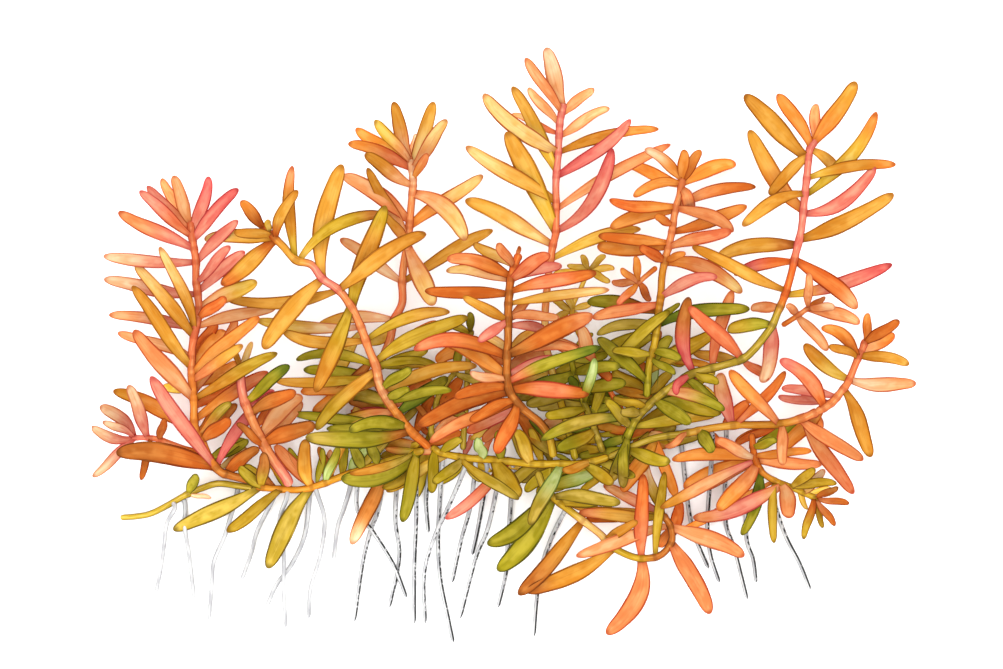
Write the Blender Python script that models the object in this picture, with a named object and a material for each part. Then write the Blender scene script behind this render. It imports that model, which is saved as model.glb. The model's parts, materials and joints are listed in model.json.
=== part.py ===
"""A clump of rotala, an aquarium stem plant, uprooted and laid flat: two creeping runners, the leafy
shoots that rise from them, and the thread roots below. +Y points along the shoots, +Z up from the
surface that the clump lies on. Route and leaf sizes are in millimetres."""

import math

import bpy
import numpy as np

MM = 0.001
CENTRE = (0.7, 0.9)  # middle of the clump's outline, in the plane of the routes
STEM_TAPER = 0.85  # width at the growing tip, as a share of the foot's
STEM_SIDES = 5
ROOT_WIDTH = 0.9
ROOT_TAPER = 0.6
ROOT_SIDES = 4
ROOT_TOP = 1.2  # height that a root comes down from beside its runner
ROOT_STEP = 0.7
LEAF_LENGTH = 17.0  # usual length of a full-grown leaf
LEAF_LEAN = 0.45  # share of the length hidden in the view from above that goes into rise or fall
LEAF_SPREAD = 1.5  # further rise or fall that differs from leaf to leaf
LOW_FOOT = 6.5  # a leaf with its foot below this height only rises
LEAF_KEEL = 0.42  # depth of the blade's midrib below its flat face
LEAF_ARCH = 0.7
LEAF_TIP = 0.2  # half width of the blade's end
SHORT_LEAF = 14.0
ROLL_MOST = 0.45  # radians that a blade is turned about its own length
LEAF_THICK = 0.25
LEAF_STEP = 0.6  # steps of height tried for a leaf that would meet another
LEAF_STEPS = 18
CLEAR = 0.35  # least gap kept between strands of two shoots
NEAR = 1.7  # plan distance at which two strands count as crossing
OWN_REACH = 4.0  # a leaf may touch its own shoot this close to its foot

# Share of a blade's length at each ring of corners, and the width there as a share of the blade's
LEAF_RINGS = {"long": ((0.0, 0.3), (0.42, 1.08), (0.86, 0.86)), "short": ((0.0, 0.4), (0.62, 1.1))}

# Shoots and runners, each from its growing tip to its foot.
# heights: of the stem's axis above the surface at the tip, in the middle and at the foot.
# leaves: (joint, tip x, tip y, bow, width). The joint counts points of the route from 0. The bow is
# how far the middle of the leaf bends to the left of a line from its foot to its tip.
SHOOTS = {
    "runner_left": {
        "heights": (3.0, 2.6, 3.6),
        "width": 1.6,
        "route": [
            (-48.4, -27.4), (-45.6, -27.8), (-42.4, -28.0), (-40.0, -28.0), (-37.8, -27.6), (-35.0, -26.6),
            (-31.8, -25.4), (-28.8, -24.4), (-25.0, -23.2), (-20.0, -21.4), (-15.8, -20.2),
        ],
        "leaves": [
            (0.1, -65.6, -36.2, 0.3, 2.6), (1.5, -54.4, -36.2, 0.2, 2.2),
            (4.0, -46.6, -43.8, 0.4, 3.0), (4.0, -38.8, -17.8, 0.9, 2.2),
            (0.2, -47.4, -20.4, -0.3, 2.0), (9.8, -19.6, -34.4, 0.2, 2.4),
            (9.8, -23.6, -27.6, 1.6, 2.0), (9.9, -31.8, -25.6, 2.0, 3.0),
            (8.4, -29.8, -39.0, 0.5, 2.4), (0.3, -52.2, -23.4, 0.2, 2.0),
            (8.0, -25.6, -17.6, 0.0, 2.0), (7.4, -29.6, -18.8, 0.0, 1.8),
            (5.0, -32.4, -19.2, 0.0, 1.5), (9.7, -30.0, -24.6, 0.8, 1.5),
            (9.9, -23.6, -22.4, 0.2, 1.6), (9.9, -23.0, -19.6, 0.2, 1.4),
            (6.6, -26.4, -19.2, 0.3, 2.4),
        ],
    },
    "runner_left_end": {
        "heights": (0.9, 1.4, 2.8),
        "width": 1.4,
        "route": [
            (-75.6, -33.6), (-73.0, -33.4), (-70.0, -32.8), (-66.4, -31.0), (-63.2, -29.2), (-60.0, -27.8),
            (-56.6, -26.8), (-52.8, -27.2), (-50.4, -27.6),
        ],
        "leaves": [(4.2, -60.6, -24.8, 0.0, 1.8), (4.2, -57.8, -29.6, 0.0, 1.2)],
    },
    "runner_middle": {
        "heights": (4.2, 4.6, 5.2),
        "width": 1.7,
        "route": [
            (-13.2, -19.8), (-11.8, -20.6), (-7.2, -21.6), (-1.2, -22.0), (6.4, -22.8), (11.2, -22.8),
            (16.6, -22.8), (21.2, -21.6),
        ],
        "leaves": [
            (3.0, 4.0, -29.4, -0.4, 3.4), (3.4, -11.0, -33.8, 0.8, 2.0), (1.8, 3.8, -29.8, -0.4, 1.8),
            (2.0, -13.4, -26.6, 0.2, 1.8), (5.2, 6.0, -35.0, -0.2, 2.3), (0.2, -13.8, -28.6, 0.0, 2.0),
            (4.4, 0.4, -28.0, -0.4, 2.0), (6.0, 22.6, -26.8, 0.2, 2.0), (6.4, 27.0, -25.4, 0.5, 1.8),
            (1.0, -7.6, -17.6, 0.2, 1.8), (2.6, -4.0, -17.6, 0.0, 2.0), (3.2, -0.4, -16.0, 0.0, 1.8),
            (4.0, 3.0, -16.0, -0.2, 2.2), (4.4, 6.0, -15.6, -0.2, 2.0), (6.4, 12.4, -24.0, 0.2, 1.6),
        ],
    },
    "runner_right": {
        "heights": (5.4, 7.4, 8.6),
        "width": 1.7,
        "route": [
            (22.4, -21.2), (26.8, -19.2), (31.2, -17.6), (37.6, -16.6), (42.6, -15.6), (47.8, -15.0),
            (50.4, -15.0), (55.8, -14.8), (60.0, -13.8), (63.0, -12.6),
        ],
        "leaves": [
            (4.8, 57.0, -4.2, -0.6, 1.8), (7.0, 45.6, -4.0, 0.2, 2.4), (4.7, 44.2, -4.6, 0.4, 2.6),
            (7.1, 56.4, -23.0, 0.0, 1.8), (6.9, 47.2, -18.6, 0.0, 1.6), (8.0, 72.6, -22.0, -0.3, 2.4),
            (8.2, 70.8, -28.8, 0.9, 2.8), (9.0, 64.6, -16.0, 0.0, 1.4), (0.6, 34.0, -22.2, -0.3, 2.2),
            (2.4, 28.6, -16.4, 0.2, 1.4), (3.0, 33.0, -19.4, 0.2, 2.0), (3.4, 42.4, -20.4, 0.2, 2.2),
        ],
    },
    "shoot_far_left": {
        "heights": (6.5, 9.0, 4.2),
        "width": 1.7,
        "route": [
            (-62.0, 25.2), (-61.6, 22.6), (-61.2, 20.2), (-60.8, 17.6), (-60.8, 14.4), (-60.4, 10.8),
            (-60.2, 7.6), (-61.2, 2.6), (-61.6, -0.6), (-61.6, -5.0), (-61.2, -10.8), (-61.2, -13.6),
            (-60.8, -16.2), (-59.4, -18.8), (-58.2, -21.6), (-56.2, -24.2), (-54.4, -25.0), (-50.6, -26.0),
        ],
        "leaves": [
            (1.0, -72.0, 31.8, 0.0, 2.0), (0.6, -70.6, 32.8, 0.0, 1.8), (0.2, -68.0, 34.4, 0.0, 1.8),
            (0.0, -65.2, 34.8, 0.0, 2.0), (0.8, -58.4, 34.8, -0.4, 2.0), (1.3, -52.2, 32.2, 0.5, 2.2),
            (2.0, -76.2, 27.6, 0.2, 2.4), (3.0, -79.4, 18.8, 0.5, 2.0), (4.9, -79.2, 14.2, 0.4, 2.2),
            (6.7, -78.2, 7.0, -0.7, 2.0), (6.8, -68.0, 20.6, -1.0, 2.0), (7.0, -73.0, 17.0, -0.4, 2.2),
            (8.7, -73.4, 12.8, 0.0, 2.2), (3.1, -52.2, 25.8, 0.4, 2.0), (4.3, -53.8, 20.8, 0.0, 1.8),
            (4.8, -51.2, 19.8, 0.2, 2.0), (6.3, -54.6, 10.6, 0.0, 1.8), (6.6, -44.8, 8.4, 0.5, 2.0),
            (8.2, -76.6, 3.4, -0.4, 2.0), (9.8, -73.0, 4.0, 0.2, 2.8), (9.4, -67.8, -7.6, 0.2, 1.6),
            (12.0, -77.4, -8.2, -0.8, 2.4), (14.6, -69.6, -5.2, 0.4, 2.6), (14.7, -67.0, -11.0, 0.0, 2.0),
            (9.0, -48.0, 6.6, 0.4, 2.2), (9.6, -52.8, 6.6, -0.6, 2.0), (9.2, -51.2, 1.0, 0.0, 2.0),
            (9.8, -44.4, -0.6, 0.4, 2.2), (11.2, -46.4, -4.4, 0.4, 2.2), (12.8, -53.8, -13.6, 0.0, 2.2),
            (14.7, -45.4, -8.4, 0.2, 2.0), (14.0, -51.0, -18.0, 0.0, 1.8), (15.7, -48.2, -19.6, 0.4, 2.2),
            (14.6, -76.6, -20.6, -1.2, 3.2), (5.8, -48.4, 13.6, 0.2, 2.6), (12.4, -53.6, -10.4, 0.3, 1.8),
        ],
    },
    "shoot_low_left": {
        "heights": (4.0, 5.0, 5.6),
        "width": 1.2,
        "route": [(-73.6, -17.6), (-70.6, -17.6), (-68.0, -18.0), (-63.6, -19.6), (-60.6, -20.4)],
        "leaves": [
            (0.1, -81.6, -15.2, 1.2, 1.8), (0.1, -80.0, -11.4, -1.2, 2.2), (0.1, -79.2, -14.2, -0.4, 1.4),
            (1.0, -74.2, -7.0, -0.3, 2.0), (2.0, -67.2, -13.6, 0.0, 1.4), (1.3, -71.8, -26.0, 0.0, 1.4),
            (0.2, -81.4, -25.4, 0.0, 1.7),
        ],
    },
    "shoot_coral_left": {
        "heights": (9.5, 8.6, 5.0),
        "width": 1.8,
        "route": [
            (-52.0, -4.4), (-51.4, -9.0), (-50.2, -12.4), (-48.0, -17.4), (-45.6, -21.6), (-43.2, -25.0),
            (-42.5, -26.3),
        ],
        "leaves": [
            (2.1, -40.6, -8.4, 0.5, 2.4), (1.5, -42.0, -3.0, 0.3, 2.2), (3.0, -39.6, -9.2, 0.8, 2.8),
            (3.3, -36.8, -14.8, 0.3, 2.6), (3.4, -52.6, -14.6, 0.0, 1.6), (0.0, -49.4, 1.6, 0.0, 1.6),
            (0.0, -53.4, 1.8, 0.0, 1.4),
        ],
    },
    "shoot_olive": {
        "heights": (9.0, 12.5, 5.4),
        "width": 1.8,
        "route": [
            (-47.0, 24.2), (-45.6, 22.8), (-43.4, 20.8), (-40.8, 18.0), (-37.6, 17.0), (-35.4, 14.2),
            (-32.2, 12.0), (-29.8, 8.8), (-27.8, 4.6), (-26.2, 0.2), (-24.8, -3.2), (-24.0, -7.0),
            (-22.2, -10.4), (-18.6, -15.4), (-14.9, -18.9),
        ],
        "leaves": [
            (0.0, -51.6, 29.8, 0.0, 2.0), (0.6, -46.2, 26.0, 0.0, 1.2), (3.0, -41.4, 36.8, 0.9, 2.0),
            (1.4, -40.2, 31.8, 1.0, 1.8), (1.2, -59.2, 22.2, -0.4, 2.2), (1.0, -53.0, 23.4, -0.2, 1.8),
            (1.4, -55.6, 13.0, 0.3, 2.8), (3.2, -23.0, 27.2, 2.6, 2.0), (5.0, -31.4, 37.0, 1.7, 3.0),
            (5.0, -47.2, 0.2, -0.7, 3.2), (6.0, -14.8, 23.4, 0.8, 2.8), (6.0, -55.0, 10.4, 1.8, 2.0),
            (7.1, -22.8, 28.8, 0.6, 2.8), (7.0, -36.8, -8.4, 0.2, 2.8), (8.6, -43.4, 3.8, 1.4, 2.2),
            (8.6, -10.0, 7.6, 1.6, 2.0), (9.8, -6.4, 6.6, 1.0, 2.4), (10.0, -40.8, -2.0, -1.8, 1.8),
            (10.0, -12.4, -3.4, 1.2, 1.6), (11.4, -4.6, -3.2, 1.4, 2.2),
            (10.2, -36.8, -16.0, -0.8, 2.2), (13.2, -38.8, -17.4, 1.0, 2.8),
            (10.6, -45.0, -6.2, 0.6, 1.9), (12.6, -30.0, -12.4, -0.6, 1.6),
            (13.0, -30.0, -16.2, -1.4, 2.2), (12.0, -31.0, -9.6, -0.8, 2.2),
            (13.4, -34.8, -15.8, -0.5, 2.0), (12.0, -9.6, -8.0, 0.6, 1.8), (8.0, -48.8, 6.0, 0.8, 2.0),
            (11.3, -17.6, -3.6, 0.3, 1.8), (12.5, -10.4, -5.6, 0.4, 2.4),
            (12.2, -13.6, -6.0, 0.2, 2.2), (11.8, -18.0, -7.6, 0.0, 1.6),
        ],
    },
    "shoot_middle_back": {
        "heights": (7.0, 4.6, 6.0),
        "width": 1.7,
        "route": [
            (-17.8, 37.6), (-17.4, 33.8), (-17.8, 28.8), (-18.2, 24.6), (-18.4, 21.6), (-19.2, 17.6),
            (-19.6, 13.6), (-19.6, 9.4), (-21.2, 6.0), (-22.0, 2.2), (-23.4, -1.4),
        ],
        "leaves": [
            (0.0, -21.2, 49.6, 0.3, 2.2), (0.0, -25.0, 45.8, 0.0, 2.0), (0.2, -29.0, 44.4, 0.0, 2.2),
            (0.4, -30.4, 41.2, -0.9, 2.0), (0.0, -16.8, 43.4, 0.0, 1.4), (0.1, -13.2, 49.6, -0.4, 2.4),
            (0.4, -10.6, 46.0, 0.0, 2.2), (0.9, -14.4, 39.2, 0.0, 1.4), (1.2, -27.0, 39.2, 0.2, 2.2),
            (2.7, -31.4, 35.0, -0.8, 2.8), (2.6, -26.4, 36.4, 0.0, 2.0), (4.0, -23.0, 27.0, 0.0, 1.6),
            (3.0, -3.4, 35.0, 0.2, 2.2), (1.5, -7.0, 21.8, 2.2, 3.0), (6.0, -1.4, 24.0, 0.5, 2.2),
            (4.2, -13.4, 8.8, 0.0, 3.0), (6.0, -32.0, 22.2, -0.2, 2.0), (8.0, -36.8, 4.4, -1.4, 2.0),
        ],
    },
    "shoot_tallest": {
        "heights": (8.0, 5.0, 3.4),
        "width": 1.6,
        "route": [
            (12.6, 48.8), (12.0, 45.6), (11.8, 42.6), (11.6, 38.6), (11.2, 33.8), (11.2, 29.8),
            (11.2, 23.8), (10.6, 21.0), (10.0, 17.2), (9.4, 12.0), (9.0, 6.0), (9.4, 0.0), (11.2, -7.0),
            (13.2, -14.0), (14.9, -21.0),
        ],
        "leaves": [
            (0.0, 9.2, 60.4, 0.0, 2.6), (0.4, 5.0, 58.2, 0.0, 2.0), (1.2, 5.6, 52.6, 0.0, 1.6),
            (3.6, 2.4, 52.6, -0.3, 2.2), (1.8, 2.4, 47.4, 0.0, 1.2), (2.8, -3.4, 51.2, 1.2, 2.8),
            (5.0, -6.8, 40.8, 0.3, 2.6), (6.0, 1.2, 43.6, -0.3, 3.2), (7.0, -7.0, 30.0, -0.6, 2.6),
            (0.6, 19.0, 52.2, 0.5, 1.8), (2.0, 22.0, 48.6, 0.4, 1.8), (2.8, 31.8, 44.2, 1.2, 1.8),
            (3.8, 26.2, 46.2, -1.0, 2.0), (5.3, 34.2, 41.2, 0.7, 2.0), (6.0, 22.4, 40.4, -2.6, 3.2),
            (7.8, 28.2, 24.2, 1.2, 2.0),
        ],
    },
    "shoot_yellow": {
        "heights": (7.5, 6.6, 5.4),
        "width": 1.1,
        "route": [
            (17.8, 16.2), (16.2, 12.4), (14.4, 8.0), (15.4, 4.0), (17.6, 0.0), (20.2, -4.4), (22.6, -9.2),
            (25.2, -13.2),
        ],
        "leaves": [
            (0.0, 16.2, 19.0, 0.0, 1.8), (0.0, 21.0, 19.0, 0.0, 2.0), (0.0, 23.0, 16.4, 0.0, 1.6),
            (0.1, 22.0, 13.6, 0.0, 1.6), (0.1, 10.6, 15.2, 0.0, 1.8), (0.0, 13.4, 17.0, 0.0, 1.6),
            (2.0, 13.4, 11.4, 0.0, 1.6), (2.0, 18.4, 9.4, 0.0, 1.8), (2.0, 10.4, 10.0, 0.0, 1.4),
            (2.0, 17.6, 5.4, 0.0, 1.6), (2.1, 9.8, 6.4, 0.0, 1.6), (4.6, 22.2, -6.0, 0.0, 1.8),
            (4.5, 16.0, 4.8, 0.3, 2.2), (4.2, 9.6, 2.4, 0.3, 2.2), (5.0, 34.0, 7.8, 0.4, 2.2),
        ],
    },
    "shoot_front": {
        "heights": (12.5, 14.0, 6.0),
        "width": 1.8,
        "route": [
            (4.2, 20.4), (3.2, 17.6), (2.2, 14.6), (1.8, 10.8), (1.6, 6.8), (1.6, 2.0), (1.4, -1.8),
            (1.4, -5.8), (2.0, -8.4), (3.8, -11.0), (5.8, -12.8), (8.0, -14.6), (9.8, -17.2), (10.6, -20.8),
        ],
        "leaves": [
            (0.0, 4.8, 23.6, 0.0, 1.6), (1.4, -0.6, 21.2, 0.0, 1.8), (1.4, -5.4, 21.2, -0.2, 1.8),
            (2.0, -10.6, 18.0, -1.2, 2.2), (2.2, -10.8, 15.8, -0.8, 1.8),
            (2.9, -13.6, 12.0, -0.6, 2.0), (2.2, 10.0, 19.0, 0.5, 2.4), (2.2, 12.4, 16.8, 0.7, 1.8),
            (2.8, 19.2, 15.4, 0.3, 2.2), (3.4, 21.8, 12.0, 0.3, 1.8), (4.2, 6.4, 10.4, 0.0, 1.6),
            (4.2, -6.6, 10.8, 0.0, 2.0), (5.9, -17.2, 0.0, -2.6, 2.4), (4.2, -4.4, 1.8, 0.0, 1.8),
            (5.8, 18.6, 6.8, 0.4, 3.2), (4.4, 9.6, 3.6, 0.6, 1.6), (4.1, 16.2, 6.2, 0.6, 1.6),
            (7.8, 17.8, -8.8, 0.5, 2.6), (8.0, -16.4, -15.2, -1.4, 3.0), (8.6, -6.0, -14.2, -0.5, 2.0),
            (9.0, -6.6, -16.6, 0.0, 2.0), (8.8, -14.0, -18.4, -1.0, 2.0), (6.8, 11.6, -1.8, 0.6, 2.0),
            (5.6, 16.0, -0.2, 1.2, 1.8), (7.2, 20.0, 0.6, 0.6, 2.0), (6.8, -12.0, 2.0, -0.8, 2.4),
            (7.6, -9.2, -9.4, -0.8, 2.2), (7.0, -6.0, -4.4, 0.4, 1.6), (7.2, -5.6, -7.2, 0.3, 1.5),
            (8.8, -0.8, -20.6, 0.3, 2.4), (9.2, -3.6, -18.2, 0.2, 2.2),
        ],
    },
    "shoot_right_middle": {
        "heights": (7.0, 6.0, 7.6),
        "width": 1.6,
        "route": [
            (36.4, 34.0), (36.0, 31.2), (35.0, 27.6), (34.4, 23.6), (33.6, 20.2), (33.0, 17.8),
            (32.4, 14.6), (32.2, 10.8), (31.8, 8.4), (31.4, 4.4), (30.8, 0.6), (29.8, -3.2), (29.4, -8.7),
        ],
        "leaves": [
            (0.0, 36.8, 40.0, 0.0, 1.8), (0.1, 40.0, 40.0, 0.0, 1.8), (0.3, 47.4, 37.4, 0.8, 2.4),
            (0.0, 28.8, 40.0, -0.8, 1.8), (0.4, 25.4, 37.4, 0.0, 2.0), (0.3, 26.6, 30.6, -1.4, 1.8),
            (1.7, 21.8, 30.0, 0.8, 2.0), (1.9, 22.0, 24.4, -0.8, 2.2), (2.6, 30.8, 26.6, 0.0, 1.4),
            (3.6, 19.6, 22.8, 0.1, 2.0), (3.8, 19.4, 20.8, 0.3, 2.8), (5.0, 27.8, 20.6, 0.0, 1.8),
            (0.6, 38.8, 27.4, 0.8, 1.8), (1.8, 51.2, 32.6, 1.4, 2.0), (1.8, 46.6, 23.6, 1.2, 2.2),
            (3.0, 49.4, 28.8, -0.4, 2.2), (3.9, 46.2, 23.8, 0.2, 2.0), (5.1, 48.4, 11.4, 2.0, 2.6),
            (4.8, 37.0, 19.0, 0.0, 1.4), (7.1, 43.4, 14.6, 1.2, 2.0), (7.7, 18.4, 6.4, -0.2, 2.0),
            (8.2, 17.4, 9.6, -0.4, 1.6), (11.6, 19.8, 2.6, 0.0, 2.4), (9.4, 23.4, -0.2, 0.0, 2.0),
            (8.6, 36.0, 9.4, 0.0, 1.6), (8.8, 19.4, 3.0, -1.0, 1.8), (10.2, 36.0, -2.0, 0.4, 1.8),
            (10.6, 35.0, -4.8, 0.0, 1.4), (10.4, 24.0, -3.4, 0.0, 1.8), (8.9, 50.0, 8.2, 1.4, 2.2),
            (10.4, 22.4, 0.0, 0.0, 1.8),
        ],
    },
    "shoot_side_orange": {
        "heights": (8.0, 7.4, 6.8),
        "width": 1.1,
        "route": [(27.6, 13.4), (29.2, 14.8), (30.9, 16.2)],
        "leaves": [
            (0.1, 27.0, 18.8, 0.0, 1.8), (0.0, 24.0, 16.2, 0.0, 1.8), (0.0, 22.4, 13.6, 0.0, 1.6),
            (0.0, 23.4, 9.0, 0.0, 2.0), (0.1, 30.2, 9.8, 0.0, 1.8),
        ],
    },
    "shoot_right": {
        "heights": (8.5, 11.5, 5.0),
        "width": 1.7,
        "route": [
            (62.8, 41.6), (61.8, 39.6), (61.4, 35.2), (60.8, 30.2), (60.2, 24.2), (59.0, 19.0),
            (58.0, 14.6), (56.6, 10.2), (55.4, 7.4), (54.4, 5.0), (52.6, 2.4), (50.6, 0.0), (48.4, -1.8),
            (44.0, -3.2), (38.8, -4.6), (35.4, -6.6), (32.8, -8.4), (29.8, -11.0), (27.2, -13.8),
            (25.2, -18.0),
        ],
        "leaves": [
            (1.4, 48.8, 51.0, 0.0, 3.0), (0.6, 55.2, 51.0, -0.5, 2.0), (0.0, 63.4, 49.4, 0.0, 1.8),
            (0.2, 71.0, 53.6, -0.3, 2.6), (3.4, 49.8, 44.0, 1.2, 2.8), (1.2, 53.6, 31.0, -0.4, 2.2),
            (2.8, 48.2, 24.6, -1.4, 2.2), (0.8, 68.2, 35.2, 0.5, 1.8), (2.9, 75.2, 47.6, -1.8, 2.2),
            (2.2, 79.2, 37.0, 1.1, 2.0), (3.5, 75.0, 36.6, -2.3, 2.4), (4.4, 78.6, 31.2, -0.8, 2.6),
            (4.6, 43.2, 18.2, -1.3, 2.4), (5.3, 46.6, 15.0, -0.9, 2.0), (5.2, 71.2, 8.2, 0.8, 2.8),
            (6.8, 78.4, 17.2, -1.0, 2.2), (6.6, 38.2, 20.6, 0.2, 2.0), (7.5, 50.2, 8.4, 0.0, 1.8),
            (9.0, 52.6, -6.6, 1.2, 2.6), (12.0, 37.6, 8.6, -0.2, 2.4), (13.3, 46.6, 12.0, 0.6, 2.0),
            (14.0, 37.8, 10.6, 1.8, 2.4), (9.0, 45.4, 4.2, -0.4, 2.4), (12.2, 38.6, -0.4, 0.0, 1.8),
            (16.0, 44.8, -12.0, 1.0, 2.6), (14.5, 43.6, -10.4, 0.0, 1.6),
            (16.6, 38.0, -14.8, 0.0, 2.4), (14.0, 43.6, -6.6, 0.0, 1.6), (18.0, 8.2, -18.0, -1.8, 2.8),
            (14.2, 35.2, -9.0, -1.0, 1.4), (16.8, 23.4, -6.4, 0.3, 2.0), (17.2, 22.6, -9.6, 0.0, 2.2),
            (17.6, 24.0, -12.4, 0.0, 1.8), (18.4, 21.0, -10.0, 0.0, 1.8),
            (18.8, 22.2, -26.6, 0.3, 2.2), (19.0, 24.4, -27.6, -0.2, 2.0),
        ],
    },
    "shoot_side_coral": {
        "heights": (9.5, 9.2, 8.8),
        "width": 1.1,
        "route": [(61.6, 8.4), (59.4, 6.8), (56.9, 5.2)],
        "leaves": [
            (0.0, 65.0, 10.6, 0.0, 1.6), (0.0, 66.8, 8.6, 0.0, 1.6), (0.1, 72.2, 5.4, 0.5, 2.2),
            (0.0, 61.2, 15.4, 0.0, 1.4), (0.8, 57.4, 9.0, 0.0, 1.4), (1.0, 65.2, -0.2, 0.3, 2.0),
        ],
    },
    "shoot_right_low": {
        "heights": (7.0, 9.4, 8.8),
        "width": 1.6,
        "route": [
            (73.0, 1.6), (72.4, 0.0), (71.6, -1.6), (70.6, -4.0), (69.6, -6.4), (68.0, -8.6),
            (66.2, -10.6), (63.7, -12.2),
        ],
        "leaves": [
            (2.0, 64.0, 4.4, -1.6, 2.0), (2.0, 65.4, 0.6, -0.5, 1.6), (0.3, 73.6, 7.4, -0.3, 1.8),
            (0.2, 79.6, 6.0, 0.0, 1.8), (1.4, 79.2, 3.2, 0.0, 2.0), (1.8, 81.6, -3.0, 0.7, 2.0),
            (3.8, 83.0, -6.6, -0.6, 2.4), (3.8, 61.0, 1.2, 0.8, 2.2), (4.6, 74.0, -21.4, 0.4, 2.4),
            (5.4, 56.4, -7.6, -0.3, 1.8), (6.0, 55.8, -9.4, 0.0, 1.6), (6.6, 55.6, -2.0, -1.6, 2.4),
        ],
    },
    "shoot_bottom_right": {
        "heights": (3.4, 5.4, 7.0),
        "width": 1.4,
        "route": [
            (63.4, -29.8), (60.8, -28.6), (58.0, -27.4), (55.0, -26.2), (52.4, -24.4), (51.0, -21.6),
            (50.6, -19.0), (50.4, -17.2),
        ],
        "leaves": [
            (0.1, 67.6, -27.4, 0.0, 1.4), (0.0, 69.8, -30.6, 0.0, 1.8), (0.0, 66.8, -35.2, 0.0, 1.8),
            (0.1, 64.6, -35.6, 0.0, 1.4), (0.2, 60.6, -37.8, 0.0, 1.4), (1.0, 65.0, -24.0, 0.0, 1.6),
            (2.0, 67.2, -26.6, 0.4, 1.6), (1.9, 62.8, -23.6, 0.0, 1.6), (2.6, 57.6, -33.6, 0.6, 2.6),
            (3.0, 54.8, -38.6, -0.4, 1.6), (3.2, 38.6, -33.6, 3.0, 1.8), (4.2, 48.2, -37.0, 1.2, 1.9),
            (4.6, 43.4, -32.0, 0.4, 2.6), (4.9, 34.4, -22.0, -1.2, 2.2), (4.7, 37.2, -28.4, 0.2, 2.0),
            (4.8, 32.0, -31.6, -0.3, 2.0), (5.0, 42.8, -17.8, 0.0, 1.8), (4.8, 64.6, -22.8, -0.2, 2.0),
            (5.2, 62.2, -20.2, 0.0, 1.6), (5.8, 55.2, -17.8, 0.0, 1.6),
        ],
    },
    "shoot_curled": {
        "heights": (8.5, 6.0, 6.2),
        "width": 1.6,
        "route": [
            (32.8, -33.2), (34.2, -35.6), (34.2, -38.6), (31.8, -41.2), (27.4, -41.6), (22.8, -39.6),
            (20.0, -36.8), (16.6, -34.2), (12.0, -30.6), (9.0, -27.8), (7.7, -24.9),
        ],
        "leaves": [
            (5.0, 3.6, -49.2, 1.0, 2.8), (7.0, 7.0, -46.6, 0.4, 3.2), (0.8, 15.2, -41.2, -0.3, 2.2),
            (3.8, 28.6, -24.8, 0.2, 2.2), (3.8, 21.2, -56.8, 2.6, 3.0), (2.0, 42.0, -52.8, 0.4, 3.0),
            (0.9, 48.8, -41.2, 0.7, 2.8), (3.2, 33.0, -24.4, 0.3, 1.6), (0.0, 15.8, -32.6, 0.3, 2.0),
            (0.0, 20.8, -27.0, 0.0, 2.0), (0.0, 29.2, -22.4, 0.4, 1.8), (5.6, 27.4, -34.0, 0.0, 1.6),
            (8.0, 21.2, -29.2, 0.0, 2.6), (9.0, 19.2, -24.6, 0.0, 2.4), (8.6, -2.6, -38.8, 1.4, 3.0),
            (8.4, -0.6, -44.2, 1.2, 3.2), (8.4, 24.0, -30.4, 0.6, 2.2),
        ],
    },
    "shoot_green_back": {
        "heights": (5.2, 3.6, 3.2),
        "width": 1.4,
        "route": [(14.0, -0.4), (14.8, -4.4), (16.0, -8.4), (17.6, -12.4), (19.0, -16.0), (20.4, -19.8)],
        "leaves": [
            (0.0, 10.4, 3.0, 0.0, 2.0), (0.0, 18.6, 3.4, 0.0, 2.0), (0.3, 6.6, -2.6, 0.3, 2.0),
            (0.4, 21.6, -0.6, -0.4, 2.0), (1.0, 5.6, -7.6, 0.4, 2.2), (1.0, 24.0, -3.4, 0.4, 2.2),
            (2.0, 5.2, -11.0, -0.4, 2.4), (2.0, 25.2, -6.6, 0.4, 2.2), (3.0, 7.6, -16.4, -0.5, 2.2),
            (2.8, 9.0, -13.2, 0.2, 2.0), (3.0, 26.6, -10.0, 0.5, 2.2), (3.2, 24.4, -15.0, 0.4, 1.8),
            (4.0, 11.4, -20.0, 0.2, 2.2), (1.6, 22.0, -9.4, 0.2, 2.0), (4.2, 24.4, -17.6, 0.3, 1.8),
            (3.4, 22.0, -4.4, 0.2, 1.8), (2.6, 18.8, -1.6, 0.0, 2.2), (2.0, 13.6, -5.6, 0.0, 2.0),
            (4.6, 10.4, -16.4, 0.2, 2.0), (4.2, 12.0, -15.0, 0.0, 1.6), (5.0, 9.6, -19.2, 0.2, 2.2),
        ],
    },
    "shoot_khaki_left": {
        "heights": (4.2, 3.6, 3.2),
        "width": 1.3,
        "route": [
            (-8.8, -4.4), (-10.4, -6.2), (-12.4, -9.4), (-13.0, -12.2), (-13.8, -15.6), (-13.5, -18.0),
        ],
        "leaves": [
            (0.0, -8.0, 1.8, 0.0, 1.6), (0.2, -2.4, -7.6, 0.4, 1.6), (2.6, -6.4, -14.0, 0.4, 1.6),
            (3.6, -17.6, -10.4, 0.0, 1.6), (4.6, -17.0, -14.8, 0.0, 1.6),
        ],
    },
    "shoot_khaki_right": {
        "heights": (3.6, 3.0, 3.2),
        "width": 1.3,
        "route": [
            (-5.8, 3.6), (-6.2, 0.8), (-6.4, -2.0), (-6.6, -6.4), (-6.8, -11.0), (-7.2, -16.0),
            (-7.4, -19.4),
        ],
        "leaves": [
            (0.0, -6.0, 7.6, 0.0, 1.4), (0.2, -10.8, 6.0, 0.0, 1.6), (3.4, -11.0, -9.6, 0.0, 1.6),
        ],
    },
}

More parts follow.
